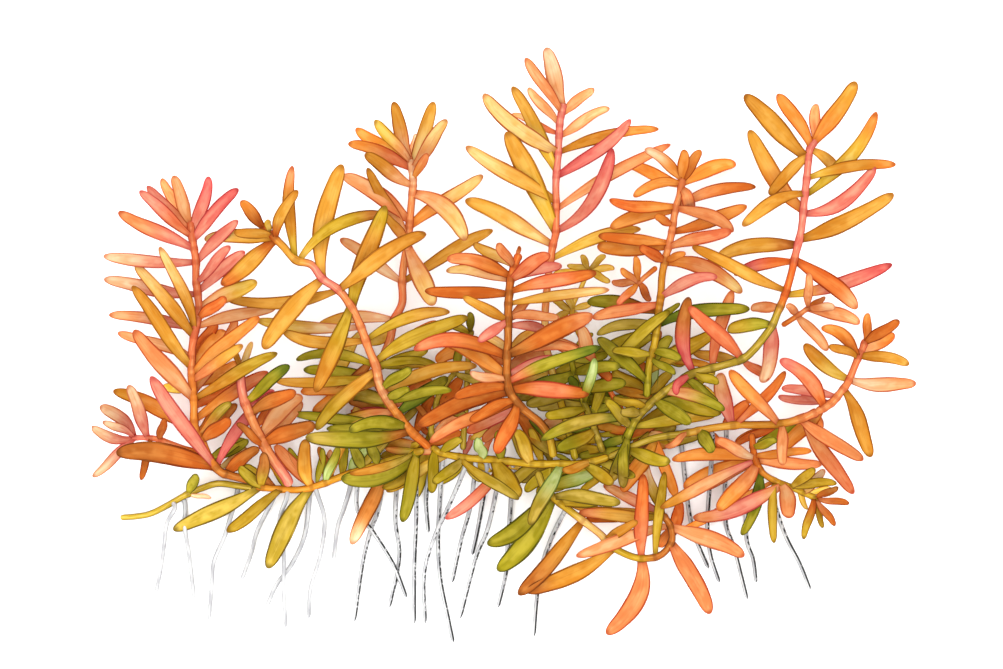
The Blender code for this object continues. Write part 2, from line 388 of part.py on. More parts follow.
# Thread roots, each from the runner or stem that it hangs from down to its end.
ROOTS = {
    "root_left_1": [(-65.2, -31.8), (-66.8, -34.8), (-67.4, -39.4), (-68.0, -43.8), (-69.0, -48.6)],
    "root_left_2": [(-63.2, -30.8), (-63.2, -36.0), (-62.4, -41.0), (-61.4, -49.8)],
    "root_left_3": [(-52.8, -28.8), (-55.0, -36.6), (-57.4, -42.4), (-57.8, -46.8), (-58.4, -54.2)],
    "root_left_4": [(-45.4, -29.6), (-48.6, -36.0), (-50.0, -41.0), (-51.8, -46.0)],
    "root_left_5": [(-42.8, -29.8), (-44.2, -34.2), (-43.4, -40.4), (-43.4, -48.2), (-43.0, -55.6)],
    "root_left_6": [(-38.2, -29.4), (-39.2, -37.2), (-41.8, -43.0), (-44.8, -47.0), (-46.8, -51.4)],
    "root_left_7": [(-36.6, -29.0), (-35.2, -34.2), (-36.0, -41.0), (-38.0, -47.8), (-38.4, -53.8)],
    "root_left_8": [(-30.0, -27.0), (-31.4, -32.0), (-32.6, -35.6), (-33.4, -42.2)],
    "root_middle_1": [(-28.6, -26.4), (-28.6, -32.0), (-25.4, -36.6), (-21.4, -43.0), (-18.8, -49.6)],
    "root_middle_2": [(-23.4, -25.0), (-24.4, -32.0), (-26.0, -36.4), (-27.6, -43.0), (-29.2, -54.4)],
    "root_middle_3": [(-20.6, -24.0), (-21.0, -34.0), (-20.2, -41.6), (-22.2, -51.6)],
    "root_middle_4": [(-17.0, -23.0), (-16.8, -33.0), (-17.2, -43.8), (-17.2, -54.8)],
    "root_middle_5": [(-7.2, -24.0), (-10.6, -32.0), (-13.2, -37.6), (-15.2, -45.0), (-15.0, -54.8)],
    "root_middle_6": [(-11.6, -23.2), (-12.4, -36.6), (-12.0, -45.6), (-10.4, -53.8), (-9.4, -58.6)],
    "root_middle_7": [(-13.6, -22.6), (-14.8, -29.4), (-14.4, -36.6)],
    "root_middle_8": [(-5.0, -24.2), (-6.0, -31.6), (-7.8, -38.2), (-9.6, -46.6)],
    "root_middle_9": [(-2.6, -24.6), (-3.4, -30.0), (-4.6, -36.6), (-5.6, -41.0)],
    "root_middle_10": [(0.0, -24.8), (-2.4, -35.6), (-4.8, -41.6), (-8.0, -53.8)],
    "root_middle_11": [(2.6, -25.0), (1.6, -38.2), (1.2, -44.6), (-0.4, -51.6)],
    "root_middle_12": [(12.4, -33.4), (10.2, -38.0), (8.2, -44.0), (7.4, -49.6), (6.8, -57.4)],
    "root_right_1": [(36.4, -19.0), (37.8, -31.6), (39.2, -37.6), (41.8, -43.8)],
    "root_right_2": [(42.6, -18.2), (41.6, -34.6), (42.2, -41.0), (44.0, -46.6)],
    "root_right_3": [(45.4, -17.6), (45.2, -33.6), (47.0, -39.8), (49.6, -50.0)],
    "root_right_4": [(49.8, -24.0), (49.4, -37.0), (50.8, -42.0), (51.4, -46.6)],
    "root_right_5": [(54.6, -28.4), (57.0, -36.6), (60.2, -43.0), (62.2, -48.0)],
}

COLOURS = {
    "runner": (0.55, 0.36, 0.1),
    "shoot": (0.85, 0.3, 0.12),
    "shoot_green": (0.2, 0.3, 0.07),
    "shoot_olive": (0.5, 0.4, 0.06),
    "shoot_khaki": (0.36, 0.4, 0.1),
    "shoot_yellow": (0.85, 0.55, 0.08),
    "shoot_far_left": (0.85, 0.24, 0.16),
    "root": (0.82, 0.82, 0.78),
}


def wave(count):
    """A steady spread of values between -1 and 1, one for each whole number."""
    return math.sin(2.4 * count + 0.7)


def plan_to_space(routed, heights):
    """Adds to each point of a route its height, on a smooth curve through the three given."""
    first, middle, last = heights
    steps = np.linspace(0, 1, len(routed))
    height = first * (1 - steps) * (1 - 2 * steps) + 4 * middle * steps * (1 - steps)
    height += last * steps * (2 * steps - 1)
    return np.column_stack([np.array(routed), height])


def at_joint(line, joint):
    """The point of a line of points that lies joint steps from its first."""
    low = min(int(joint), len(line) - 2)
    return line[low] + (line[low + 1] - line[low]) * (joint - low)


def stem_radii(count, width):
    """Half widths of a stem from its growing tip to its foot."""
    return 0.5 * width * np.linspace(STEM_TAPER, 1, count)


def leaf_line(foot, leaf, number, shift, stations):
    """Points along a leaf's middle. A leaf that looks short from above leans up or down instead."""
    _, tip_x, tip_y, bow, _ = leaf
    along = np.array([tip_x - foot[0], tip_y - foot[1]])
    reach = np.linalg.norm(along)
    side = np.array([-along[1], along[0]]) / reach
    middle = foot[:2] + along / 2 + 2 * bow * side
    lean = LEAF_LEAN * math.sqrt(max(0.0, LEAF_LENGTH**2 - reach**2))
    rise = math.copysign(lean, wave(number)) + LEAF_SPREAD * wave(number + 5)
    if foot[2] < LOW_FOOT:
        rise = abs(rise)
    s = np.array(stations)[:, None]
    plan = foot[:2] * (1 - s) ** 2 + 2 * middle * s * (1 - s) + np.array([tip_x, tip_y]) * s**2
    s = s[:, 0]
    height = foot[2] + rise * s + LEAF_ARCH * np.sin(math.pi * s) + shift * s * (2 - s)
    return np.column_stack([plan, np.maximum(height, 0.0)])


def across(line):
    """For each point of a line, the level direction across it and its own direction."""
    ahead = np.gradient(line, axis=0)
    ahead /= np.linalg.norm(ahead, axis=1)[:, None]
    side = np.column_stack([-ahead[:, 1], ahead[:, 0], np.zeros(len(line))])
    side /= np.linalg.norm(side, axis=1)[:, None]
    return side, ahead


def blade_rings(line, half_widths, number):
    """Left edge, right edge and keel of a blade at each of its stations, none below the surface."""
    side, ahead = across(line)
    up = np.cross(ahead, side)
    roll = ROLL_MOST * wave(number + 2)
    turned = side * math.cos(roll) + up * math.sin(roll)
    below = np.cross(turned, ahead)
    half = np.array(half_widths)[:, None]
    keel = below * LEAF_KEEL * np.minimum(half, 1.0)
    rings = np.stack([line + turned * half, line - turned * half, line + keel], axis=1)
    sunk = np.minimum(rings[:, :, 2].min(axis=1), 0.0)
    rings[:, :, 2] -= sunk[:, None]
    return rings


def leaf_samples(foot, leaf, number, shift):
    """Points of a blade's two edges and middle, close enough together to find what it crosses."""
    stations = np.linspace(0.06, 1, 12)
    line = leaf_line(foot, leaf, number, shift, stations)
    half = 0.5 * leaf[4] * np.sin(math.pi * np.clip(stations * 0.8 + 0.1, 0, 1)) ** 0.6
    rings = blade_rings(line, half, number)
    return np.concatenate([rings[:, 0], rings[:, 1], line + (rings[:, 2] - line) * 0.5])


def stem_samples(line, radii):
    """Points of a stem's axis and two sides, close enough together to find what crosses it."""
    fine = np.linspace(0, len(line) - 1, 6 * len(line))
    dense = np.array([at_joint(line, joint) for joint in fine])
    wide = np.interp(fine, np.arange(len(line)), radii)
    side, _ = across(dense)
    left = dense + side * wide[:, None]
    right = dense - side * wide[:, None]
    return np.concatenate([dense, left, right]), np.tile(wide, 3)


class Placed:
    """Every strand placed so far: sample points, half thickness and the shoot that each belongs to."""

    def __init__(self):
        self.points = np.zeros((0, 3))
        self.thick = np.zeros(0)
        self.owner = np.zeros(0, int)

    def add(self, points, thick, owner):
        self.points = np.concatenate([self.points, points])
        self.thick = np.concatenate([self.thick, np.broadcast_to(thick, len(points))])
        self.owner = np.concatenate([self.owner, np.full(len(points), owner)])

    def room(self, points, thick, owner, foot, reach):
        """How far the least gap to what is placed exceeds the clearance: below 0 it is too tight."""
        apart = np.linalg.norm(self.points[None, :, :2] - points[:, None, :2], axis=2)
        from_foot = np.linalg.norm(self.points[:, :2] - foot[:2], axis=1)
        own = (self.owner == owner) & (from_foot < reach)
        ours, theirs = np.nonzero((apart < NEAR) & ~own[None, :])
        if not len(ours):
            return CLEAR
        gap = np.abs(points[ours, 2] - self.points[theirs, 2]) - thick - self.thick[theirs]
        return gap.min() - CLEAR


def settle(placed, sample, thick, owner, foot, reach, shifts):
    """The smallest shift of height at which a strand passes clear over or under the others."""
    best, best_room = 0.0, -math.inf
    for shift in shifts:
        room = placed.room(sample(shift), thick, owner, foot, reach)
        if room >= 0:
            return shift
        if room > best_room:
            best, best_room = shift, room
    return best


def root_line(route, shift):
    """A root comes down from beside its runner and lies on the surface, or on another root."""
    steps = np.linspace(0, 1, len(route))
    height = root_radii(len(route)) * math.sin(math.pi / ROOT_SIDES)
    height += ROOT_TOP * np.maximum(0, 1 - 3 * steps) ** 2 + shift * np.minimum(1, 4 * (1 - steps))
    return np.column_stack([np.array(route), height])


def root_radii(count):
    return 0.5 * ROOT_WIDTH * np.linspace(1, ROOT_TAPER, count)


def new_object(name, points, faces, colour):
    """A mesh object with its own material, its points given in millimetres."""
    mesh = bpy.data.meshes.new(name)
    placed = (np.array(points) - np.array([*CENTRE, 0])) * MM
    mesh.from_pydata([tuple(point) for point in placed], [], faces)
    mesh.materials.append(plant_material(name, colour))
    made = bpy.data.objects.new(name, mesh)
    bpy.context.scene.collection.objects.link(made)
    return made


def plant_material(name, colour):
    material = bpy.data.materials.new(name)
    material.use_nodes = True
    shader = material.node_tree.nodes["Principled BSDF"]
    shader.inputs["Base Color"].default_value = (*colour, 1)
    shader.inputs["Roughness"].default_value = 0.5
    shader.inputs["Metallic"].default_value = 0.0
    return material


def tube(line, radii, sides):
    """Points and faces of a closed tube of the given number of sides."""
    side, ahead = across(line)
    up = np.cross(ahead, side)
    points, faces = [], []
    for number in range(len(line)):
        for corner in range(sides):
            turn = 2 * math.pi * (corner + 0.5) / sides
            outward = side[number] * math.cos(turn) + up[number] * math.sin(turn)
            points.append(line[number] + radii[number] * outward)
    for number in range(len(line) - 1):
        for corner in range(sides):
            low, high = number * sides, (number + 1) * sides
            after = (corner + 1) % sides
            faces.append((low + corner, low + after, high + after, high + corner))
    faces.append(tuple(reversed(range(sides))))
    faces.append(tuple(range((len(line) - 1) * sides, len(line) * sides)))
    return points, faces


def blade(rings, tip):
    """Points and faces of a closed blade with a flat upper face and a keel below."""
    points = [corner for ring in rings for corner in ring] + [tip]
    faces = [(2, 1, 0)]
    for number in range(len(rings) - 1):
        low, high = 3 * number, 3 * number + 3
        for corner in range(3):
            after = (corner + 1) % 3
            faces.append((low + corner, low + after, high + after, high + corner))
    last = 3 * (len(rings) - 1)
    for corner in range(3):
        faces.append((last + corner, last + (corner + 1) % 3, len(points) - 1))
    return points, faces


def leaf_solid(foot, leaf, number, shift, name, colour):
    """A leaf from the middle of its stem out to its tip, as a helper that its shoot is joined with."""
    _, tip_x, tip_y, _, width = leaf
    reach = math.dist(foot[:2], (tip_x, tip_y))
    shape = LEAF_RINGS["short" if reach < SHORT_LEAF else "long"]
    stations, widths = zip(*shape, (1.0, LEAF_TIP))
    line = leaf_line(foot, leaf, number, shift, stations)
    rings = blade_rings(line, 0.5 * width * np.array(widths), number)
    made = new_object(name, *blade(rings[:-1], rings[-1].mean(axis=0)), colour)
    made.hide_render = True
    made.display_type = "WIRE"
    return made


def colour_of(name):
    """The colour of the longest key that the name starts with."""
    keys = [key for key in COLOURS if name.startswith(key)]
    return COLOURS[max(keys, key=len)]


def build_shoot(name, shoot, line, radii, shifts):
    """The stem with its leaves joined to it."""
    colour = colour_of(name)
    stem = new_object(name, *tube(line, radii, STEM_SIDES), colour)
    leaves = bpy.data.collections.new(name + "_leaves")
    for number, (leaf, shift) in enumerate(zip(shoot["leaves"], shifts)):
        foot = at_joint(line, leaf[0])
        made = leaf_solid(foot, leaf, number, shift, f"{name}_leaf_{number}", colour)
        bpy.context.scene.collection.objects.unlink(made)
        leaves.objects.link(made)
    joined = stem.modifiers.new("leaves", "BOOLEAN")
    joined.operation = "UNION"
    joined.operand_type = "COLLECTION"
    joined.collection = leaves
    joined.solver = "EXACT"


def place_leaves(placed, lines):
    """The shift of height that clears each leaf of what was placed before it, for every shoot."""
    shifts = {}
    steps = [0.0]
    for step in range(1, LEAF_STEPS):
        steps += [LEAF_STEP * step, -LEAF_STEP * step]
    for owner, (name, shoot) in enumerate(SHOOTS.items()):
        shifts[name] = []
        for number, leaf in enumerate(shoot["leaves"]):
            foot = at_joint(lines[name], leaf[0])

            def sample(shift, foot=foot, leaf=leaf, number=number):
                return leaf_samples(foot, leaf, number, shift)

            shift = settle(placed, sample, LEAF_THICK, owner, foot, OWN_REACH, steps)
            placed.add(sample(shift), LEAF_THICK, owner)
            shifts[name].append(shift)
    return shifts


def clear_scene():
    for old in list(bpy.data.objects):
        bpy.data.objects.remove(old)


def place_stems(placed):
    """The line and half widths of every stem, which keep the heights of their table."""
    lines, radii = {}, {}
    for owner, (name, shoot) in enumerate(SHOOTS.items()):
        lines[name] = plan_to_space(shoot["route"], shoot["heights"])
        radii[name] = stem_radii(len(lines[name]), shoot["width"])
        placed.add(*stem_samples(lines[name], radii[name]), owner)
    return lines, radii


def place_roots(placed):
    """The line of every root, lifted where it has to pass over another."""
    lines = {}
    for owner, (name, route) in enumerate(ROOTS.items(), len(SHOOTS)):

        def sample(shift, route=route):
            return stem_samples(root_line(route, shift), root_radii(len(route)))[0]

        steps = [ROOT_STEP * step for step in range(4)]
        shift = settle(placed, sample, ROOT_WIDTH / 2, owner, np.array(route[0]), 0.0, steps)
        placed.add(sample(shift), ROOT_WIDTH / 2, owner)
        lines[name] = root_line(route, shift)
    return lines


def main():
    clear_scene()
    placed = Placed()
    lines, radii = place_stems(placed)
    roots = place_roots(placed)
    shifts = place_leaves(placed, lines)
    for name, line in roots.items():
        new_object(name, *tube(line, root_radii(len(line)), ROOT_SIDES), COLOURS["root"])
    for name, shoot in SHOOTS.items():
        build_shoot(name, shoot, lines[name], radii[name], shifts[name])


main()
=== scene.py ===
import json
import math

import bpy
import numpy as np
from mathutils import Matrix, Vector

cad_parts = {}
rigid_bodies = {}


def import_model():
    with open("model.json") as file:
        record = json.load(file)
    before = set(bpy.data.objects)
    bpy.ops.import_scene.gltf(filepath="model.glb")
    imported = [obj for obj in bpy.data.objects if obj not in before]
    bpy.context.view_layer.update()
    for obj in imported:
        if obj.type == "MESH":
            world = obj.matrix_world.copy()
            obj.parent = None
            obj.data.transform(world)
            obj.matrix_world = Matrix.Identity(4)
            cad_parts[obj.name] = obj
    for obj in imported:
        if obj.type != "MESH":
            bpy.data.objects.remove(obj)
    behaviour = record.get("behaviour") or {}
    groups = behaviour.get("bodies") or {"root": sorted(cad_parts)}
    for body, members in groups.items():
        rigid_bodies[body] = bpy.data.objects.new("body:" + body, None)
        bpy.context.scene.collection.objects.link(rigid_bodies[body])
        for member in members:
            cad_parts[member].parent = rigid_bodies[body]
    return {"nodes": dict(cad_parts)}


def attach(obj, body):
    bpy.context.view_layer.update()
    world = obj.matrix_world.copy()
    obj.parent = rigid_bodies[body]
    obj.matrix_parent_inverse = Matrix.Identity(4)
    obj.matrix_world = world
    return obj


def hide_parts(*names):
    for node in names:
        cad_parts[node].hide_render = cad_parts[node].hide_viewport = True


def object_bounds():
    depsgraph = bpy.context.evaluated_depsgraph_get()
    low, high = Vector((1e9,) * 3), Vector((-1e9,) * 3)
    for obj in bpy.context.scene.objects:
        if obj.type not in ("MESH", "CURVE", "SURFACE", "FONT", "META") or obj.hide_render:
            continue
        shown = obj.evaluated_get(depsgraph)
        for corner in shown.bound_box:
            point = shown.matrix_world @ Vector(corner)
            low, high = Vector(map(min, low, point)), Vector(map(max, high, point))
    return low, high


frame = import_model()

cad_low, cad_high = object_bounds()

# The sheet that the clump lies on, the light and the camera.
# A plain white surface under an even white sky with one broad soft lamp. The camera looks straight
# down through a long lens, as the photo sees the plant square on.
MM = 0.001
PHOTO_WIDTH = 200.6  # millimetres that the photo spans
PHOTO_MIDDLE = (-0.4, 2.2)
LENS = 400.0
SENSOR = 36.0
SKY = 2.55
LAMP = 0.5

camera_data = bpy.data.cameras.new("camera")
camera_data.lens = LENS
camera_data.sensor_width = SENSOR
camera_data.clip_end = 100
camera = bpy.data.objects.new("camera", camera_data)
camera_height = PHOTO_WIDTH * LENS / SENSOR + 8
camera.location = (PHOTO_MIDDLE[0] * MM, PHOTO_MIDDLE[1] * MM, camera_height * MM)
bpy.context.scene.collection.objects.link(camera)
bpy.context.scene.camera = camera
bpy.context.scene.view_settings.view_transform = "Standard"

sky = bpy.data.worlds.new("sky")
sky.use_nodes = True
sky.node_tree.nodes["Background"].inputs["Color"].default_value = (1, 1, 1, 1)
sky.node_tree.nodes["Background"].inputs["Strength"].default_value = SKY
bpy.context.scene.world = sky

lamp_data = bpy.data.lights.new("lamp", "SUN")
lamp_data.energy = LAMP
lamp_data.angle = math.radians(50)
lamp = bpy.data.objects.new("lamp", lamp_data)
lamp.rotation_euler = (math.radians(-22), math.radians(-28), 0)
bpy.context.scene.collection.objects.link(lamp)

sheet_mesh = bpy.data.meshes.new("sheet")
sheet_mesh.from_pydata([(-30, -30, 0), (30, -30, 0), (30, 30, 0), (-30, 30, 0)], [], [(0, 1, 2, 3)])
sheet = bpy.data.objects.new("sheet", sheet_mesh)
bpy.context.scene.collection.objects.link(sheet)
sheet_paint = bpy.data.materials.new("white_sheet")
sheet_paint.use_nodes = True
sheet_paint.node_tree.nodes["Principled BSDF"].inputs["Base Color"].default_value = (0.95, 0.95, 0.95, 1)
sheet_paint.node_tree.nodes["Principled BSDF"].inputs["Roughness"].default_value = 0.9
sheet_mesh.materials.append(sheet_paint)

# The creeping runners.
# Amber and olive stems that creep over the ground and root at their joints, each with a few older
# leaves. Stem and leaves grew as one piece: a round stem, and thin straps that narrow to their foot.
CENTRE = np.array([0.7, 0.9, 0.0])  # middle of the clump, in the plane of the routes
STEM_TAPER = 0.85
STEM_SIDES = 14
STEM_STEP = 0.12  # share of a joint between two rings of the stem
KNOT = 0.16  # how far a joint swells, as a share of the stem's width
KNOT_LENGTH = 0.7
STEM_DOME = np.array([1.0, 0.92, 0.7, 0.38])  # how far each ring of a stem's end stands out, in half widths
LEAF_LENGTH = 17.0
LEAF_LEAN = 0.45
LEAF_SPREAD = 1.5
LOW_FOOT = 6.5
LEAF_ARCH = 0.7
ROLL_MOST = 0.45
LEAF_STATIONS = np.concatenate([np.linspace(0, 0.84, 15), 1 - 0.16 * np.linspace(0.86, 0, 7) ** 1.7])
LEAF_ACROSS = np.array([-1, -0.88, -0.6, -0.3, 0, 0.3, 0.6, 0.88, 1, 0.6, 0, -0.6])
LEAF_TOPS = 9  # the first so many of LEAF_ACROSS are on the upper face
GUTTER = 0.08
LEAF_THIN, LEAF_THICK = 0.05, 0.18
LEAF_FULL = 1.34  # the soft blade bulges this much beyond its nominal width
TIP_NARROW = 0.33  # how much narrower a blade is near its tip
YOUNG_LENGTH, YOUNG_NARROW = 9.0, 0.6  # a leaf shorter than this is narrower, down to this share
LEAF_SWAY = 0.22  # how far the middle of a blade wanders to its sides
LOW_TIP, LOW_SPREAD = 2.4, 1.2  # height of the tips of leaves low in the clump, and its variation

# Paints by letter: the leaf's body, its rim and its pale middle, in 0 to 255. On a stem, the rim is its
# painted shade and the pale middle its painted highlight.
TINTS = {
    "o": ((243, 144, 52), (187, 80, 22), (252, 173, 88)),  # orange
    "s": ((238, 140, 78), (183, 70, 35), (248, 172, 109)),  # salmon
    "p": ((243, 161, 96), (196, 88, 47), (252, 196, 139)),  # peach
    "w": ((245, 187, 134), (201, 106, 66), (252, 225, 181)),  # pale peach
    "c": ((235, 121, 72), (181, 59, 32), (244, 156, 104)),  # coral
    "k": ((239, 129, 105), (191, 61, 60), (247, 171, 139)),  # pink
    "r": ((224, 88, 82), (160, 34, 43), (237, 131, 114)),  # crimson pink
    "d": ((232, 107, 40), (160, 54, 16), (246, 144, 69)),  # red orange
    "f": ((215, 105, 32), (137, 54, 14), (230, 134, 56)),  # rust
    "b": ((188, 102, 34), (111, 52, 14), (214, 137, 64)),  # brown
    "a": ((212, 133, 34), (142, 76, 11), (224, 160, 65)),  # amber
    "g": ((232, 161, 53), (164, 93, 19), (242, 186, 87)),  # gold
    "y": ((237, 184, 57), (166, 108, 17), (250, 213, 109)),  # yellow
    "l": ((247, 194, 103), (180, 85, 42), (252, 219, 146)),  # pale yellow
    "v": ((201, 156, 29), (117, 77, 8), (225, 186, 67)),  # olive gold
    "h": ((180, 149, 40), (95, 73, 16), (216, 184, 85)),  # olive
    "m": ((192, 162, 28), (103, 81, 8), (223, 192, 71)),  # moss
    "n": ((163, 148, 24), (75, 73, 8), (198, 180, 60)),  # green
    "e": ((107, 118, 24), (43, 54, 7), (140, 145, 40)),  # dark green
    "q": ((188, 202, 106), (104, 128, 46), (220, 230, 160)),  # pale green
}
SHINE = 1.95  # brightness of the light on the sheet, by which the paints are held back
LOW_PAINTED_LIGHT = 0.5  # painted light: how much paler the paints are made low in the clump, where less light falls, to lift the shade there


def wave(count):
    """A steady spread of values between -1 and 1, one for each whole number."""
    return math.sin(2.4 * count + 0.7)


def rising(value, low, high):
    """0 below low, 1 above high and smooth between."""
    share = np.clip((value - low) / (high - low), 0, 1)
    return share * share * (3 - 2 * share)


def paint_of(letters, tone, share):
    """Red, green and blue along a strand that turns from its first letter's paint to the next's."""
    colours = np.array([TINTS[letter][tone] for letter in letters + letters[-1]]) / 255
    place = share * max(1, len(letters) - 1)
    low = np.minimum(place.astype(int), len(letters) - 1)
    blend = rising(place - low, 0.25, 0.8)[:, None]
    mixed = colours[low] * (1 - blend) + colours[low + 1] * blend
    linear = np.where(mixed < 0.04, mixed / 12.92, ((mixed + 0.055) / 1.055) ** 2.4)
    return linear / SHINE


def route_heights(route, heights):
    """Adds to each point of a route its height, on a smooth curve through the three given."""
    first, middle, last = heights
    steps = np.linspace(0, 1, len(route))
    height = first * (1 - steps) * (1 - 2 * steps) + 4 * middle * steps * (1 - steps)
    height += last * steps * (2 * steps - 1)
    return np.column_stack([np.array(route), height])


def along_route(points, joints):
    """Points of a smooth curve through a route, at fractional counts of the route's points."""
    padded = np.vstack([2 * points[0] - points[1], points, 2 * points[-1] - points[-2]])
    low = np.clip(np.floor(joints).astype(int), 0, len(points) - 2)
    step = (joints - low)[:, None]
    before, start, end, after = (padded[low + count] for count in range(4))
    curve = 2 * start + (end - before) * step
    curve += (2 * before - 5 * start + 4 * end - after) * step**2
    curve += (3 * start - before - 3 * end + after) * step**3
    return curve / 2


def directions(line):
    """For each point of a line, the level direction across it, its own direction and its upward side."""
    ahead = np.gradient(line, axis=0)
    ahead /= np.linalg.norm(ahead, axis=1)[:, None]
    side = np.column_stack([-ahead[:, 1], ahead[:, 0], np.zeros(len(line))])
    side /= np.linalg.norm(side, axis=1)[:, None]
    return side, ahead, np.cross(ahead, side)


def on_the_sheet(rings):
    """Lifts each ring of points that would go below the surface."""
    sunk = np.minimum(rings[:, :, 2].min(axis=1), 0.0)
    rings[:, :, 2] -= sunk[:, None]
    return rings


def leaf_width(share, number):
    """Half width along a strap leaf, as a share of its widest: a narrow foot and a round tip."""
    widest = 0.44 + 0.07 * wave(3 * number)
    body = LEAF_FULL * (0.38 + 0.62 * rising(share, -0.08, widest))
    body *= 1 - TIP_NARROW * rising(share, widest + 0.1, 1.05)
    blunt = np.clip((share - 0.84) / 0.16, 0, 1)
    return body * np.sqrt(1 - blunt**2.2) * (1 + 0.035 * np.sin(9 * share + 5 * wave(number)))


def leaf_middle(foot, tip, bow, number, over):
    """Points along the middle of a leaf, from its foot inside the stem to its tip."""
    along = tip[:2] - foot[:2]
    reach = np.linalg.norm(along)
    bent = foot[:2] + along / 2 + 2 * bow * np.array([-along[1], along[0]]) / reach
    lean = LEAF_LEAN * math.sqrt(max(0.0, LEAF_LENGTH**2 - reach**2))
    rise = math.copysign(lean, wave(number)) + LEAF_SPREAD * wave(number + 5)
    if foot[2] < LOW_FOOT:
        rise = abs(rise)
    shift = tip[2] - foot[2] - rise
    share = LEAF_STATIONS[:, None]
    plan = foot[:2] * (1 - share) ** 2 + 2 * bent * share * (1 - share) + tip[:2] * share**2
    sway = LEAF_SWAY * wave(2 * number) * np.sin(2 * math.pi * share)
    plan += sway * np.array([-along[1], along[0]]) / reach
    share = LEAF_STATIONS
    height = foot[2] + rise * share + (LEAF_ARCH + over) * np.sin(math.pi * share)
    height += shift * share * (2 - share)
    return np.column_stack([plan, np.maximum(height, 0.0)])


def leaf_rings(middle, width, number):
    """Rings of points round a leaf: a shallow gutter above and a rounded keel below."""
    side, ahead, up = directions(middle)
    width *= np.clip(np.linalg.norm(middle[-1] - middle[0]) / YOUNG_LENGTH, YOUNG_NARROW, 1)
    roll = ROLL_MOST * wave(number + 2)
    across = side * math.cos(roll) + up * math.sin(roll)
    above = up * math.cos(roll) - side * math.sin(roll)
    half = 0.5 * width * leaf_width(LEAF_STATIONS, number)
    flat = LEAF_ACROSS
    thick = (LEAF_THIN + LEAF_THICK * (1 - flat**2)) * (np.arange(len(flat)) >= LEAF_TOPS)
    lift = GUTTER * half[:, None] * np.abs(flat) ** 1.4 - thick * np.minimum(1, half / 0.7)[:, None]
    out = across[:, None, :] * (half[:, None] * flat)[:, :, None] + above[:, None, :] * lift[:, :, None]
    return on_the_sheet(middle[:, None, :] + out)


class Strand:
    """Rings of points that make one closed strand, with what its material reads at each point."""

    def __init__(self, rings, across, letters, seed, band=None):
        count, size = rings.shape[:2]
        lengths = np.linalg.norm(np.diff(rings.mean(axis=1), axis=0), axis=1)
        length = np.concatenate([[0], np.cumsum(lengths)])
        share = np.repeat(length / length[-1], size)
        self.points = rings.reshape(-1, 3)
        self.faces = ring_faces(count, size)
        self.share = share
        self.across = np.tile(across, count)
        self.band = np.zeros(count * size) if band is None else np.repeat(band, size)
        self.seat = np.column_stack([np.repeat(length, size), self.across, np.full(count * size, seed)])
        # painted light: paints grow paler towards the sheet, lifting the shade low in the clump
        shade = 1 + LOW_PAINTED_LIGHT * (1 - rising(self.points[:, 2], 1, 9))
        self.paints = [paint_of(letters, tone, share) * shade[:, None] for tone in range(3)]


def ring_faces(count, size):
    """Faces between each two rings, and one at each end."""
    low = (np.arange(count - 1) * size)[:, None] + np.arange(size)
    after = (np.arange(count - 1) * size)[:, None] + (np.arange(size) + 1) % size
    quads = np.stack([low, after, after + size, low + size], axis=2).reshape(-1, 4).tolist()
    return quads + [list(range(size))[::-1], list(range((count - 1) * size, count * size))]


def domed(line, radii):
    """Adds rings to both ends of a stem, so that it ends round and meets what it grew from."""
    out = STEM_DOME[:, None]
    tip = line[0] + (line[0] - line[1]) / np.linalg.norm(line[0] - line[1]) * out * radii[0]
    foot = line[-1] + (line[-1] - line[-2]) / np.linalg.norm(line[-1] - line[-2]) * out * radii[-1]
    around = np.sqrt(1.001 - STEM_DOME**2)
    radii = np.concatenate([around * radii[0], radii, (around * radii[-1])[::-1]])
    return np.vstack([tip, line, foot[::-1]]), radii


def stem_strand(points, width, knots, letters, seed):
    """The round stem, a little swollen and darker at each joint where leaves stand."""
    joints = np.arange(0, len(points) - 1 + STEM_STEP / 2, STEM_STEP)
    line = along_route(points, joints)
    ends = 0.5 * width * np.linspace(STEM_TAPER, 1, len(line))
    line, ends = domed(line, ends)
    side, ahead, up = directions(line)
    marks = along_route(points, np.array(knots))
    apart = np.linalg.norm(line[:, None, :] - marks[None, :, :], axis=2).min(axis=1)
    band = np.exp(-((apart / KNOT_LENGTH) ** 2))
    radius = ends * (1 + KNOT * band)
    turn = 2 * math.pi * np.arange(STEM_SIDES) / STEM_SIDES
    out = side[:, None, :] * np.cos(turn)[:, None] + up[:, None, :] * np.sin(turn)[:, None]
    rings = on_the_sheet(line[:, None, :] + out * radius[:, None, None])
    return Strand(rings, np.cos(turn), letters, seed, band)


def new_piece(name, strands, paints):
    """One mesh from a list of (strand, material number), in place of the CAD node of that name."""
    points, faces, numbers = [], [], []
    start = 0
    for strand, number in strands:
        points.append(strand.points)
        faces += [[corner + start for corner in face] for face in strand.faces]
        numbers += [number] * len(strand.faces)
        start += len(strand.points)
    mesh = bpy.data.meshes.new(name)
    inside = np.clip((np.concatenate(points) - CENTRE) * MM, cad_low, cad_high)
    mesh.from_pydata(inside.tolist(), [], faces)
    for paint in paints:
        mesh.materials.append(paint)
    mesh.polygons.foreach_set("material_index", numbers)
    mesh.polygons.foreach_set("use_smooth", [True] * len(faces))
    give_attributes(mesh, [strand for strand, _ in strands])
    piece = bpy.data.objects.new(name + "_grown", mesh)
    bpy.context.scene.collection.objects.link(piece)
    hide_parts(name)
    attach(piece, "root")
    return piece


def give_attributes(mesh, strands):
    """What the materials read: place along and across a strand, and its three paints."""
    for name in ("share", "across", "band"):
        values = np.concatenate([getattr(strand, name) for strand in strands])
        mesh.attributes.new(name, "FLOAT", "POINT").data.foreach_set("value", values)
    seats = np.concatenate([strand.seat for strand in strands])
    mesh.attributes.new("seat", "FLOAT_VECTOR", "POINT").data.foreach_set("vector", seats.ravel())
    for tone, name in enumerate(("body", "rim", "heart")):
        colours = np.concatenate([strand.paints[tone] for strand in strands])
        colours = np.column_stack([colours, np.ones(len(colours))])
        mesh.attributes.new(name, "FLOAT_COLOR", "POINT").data.foreach_set("color", colours.ravel())


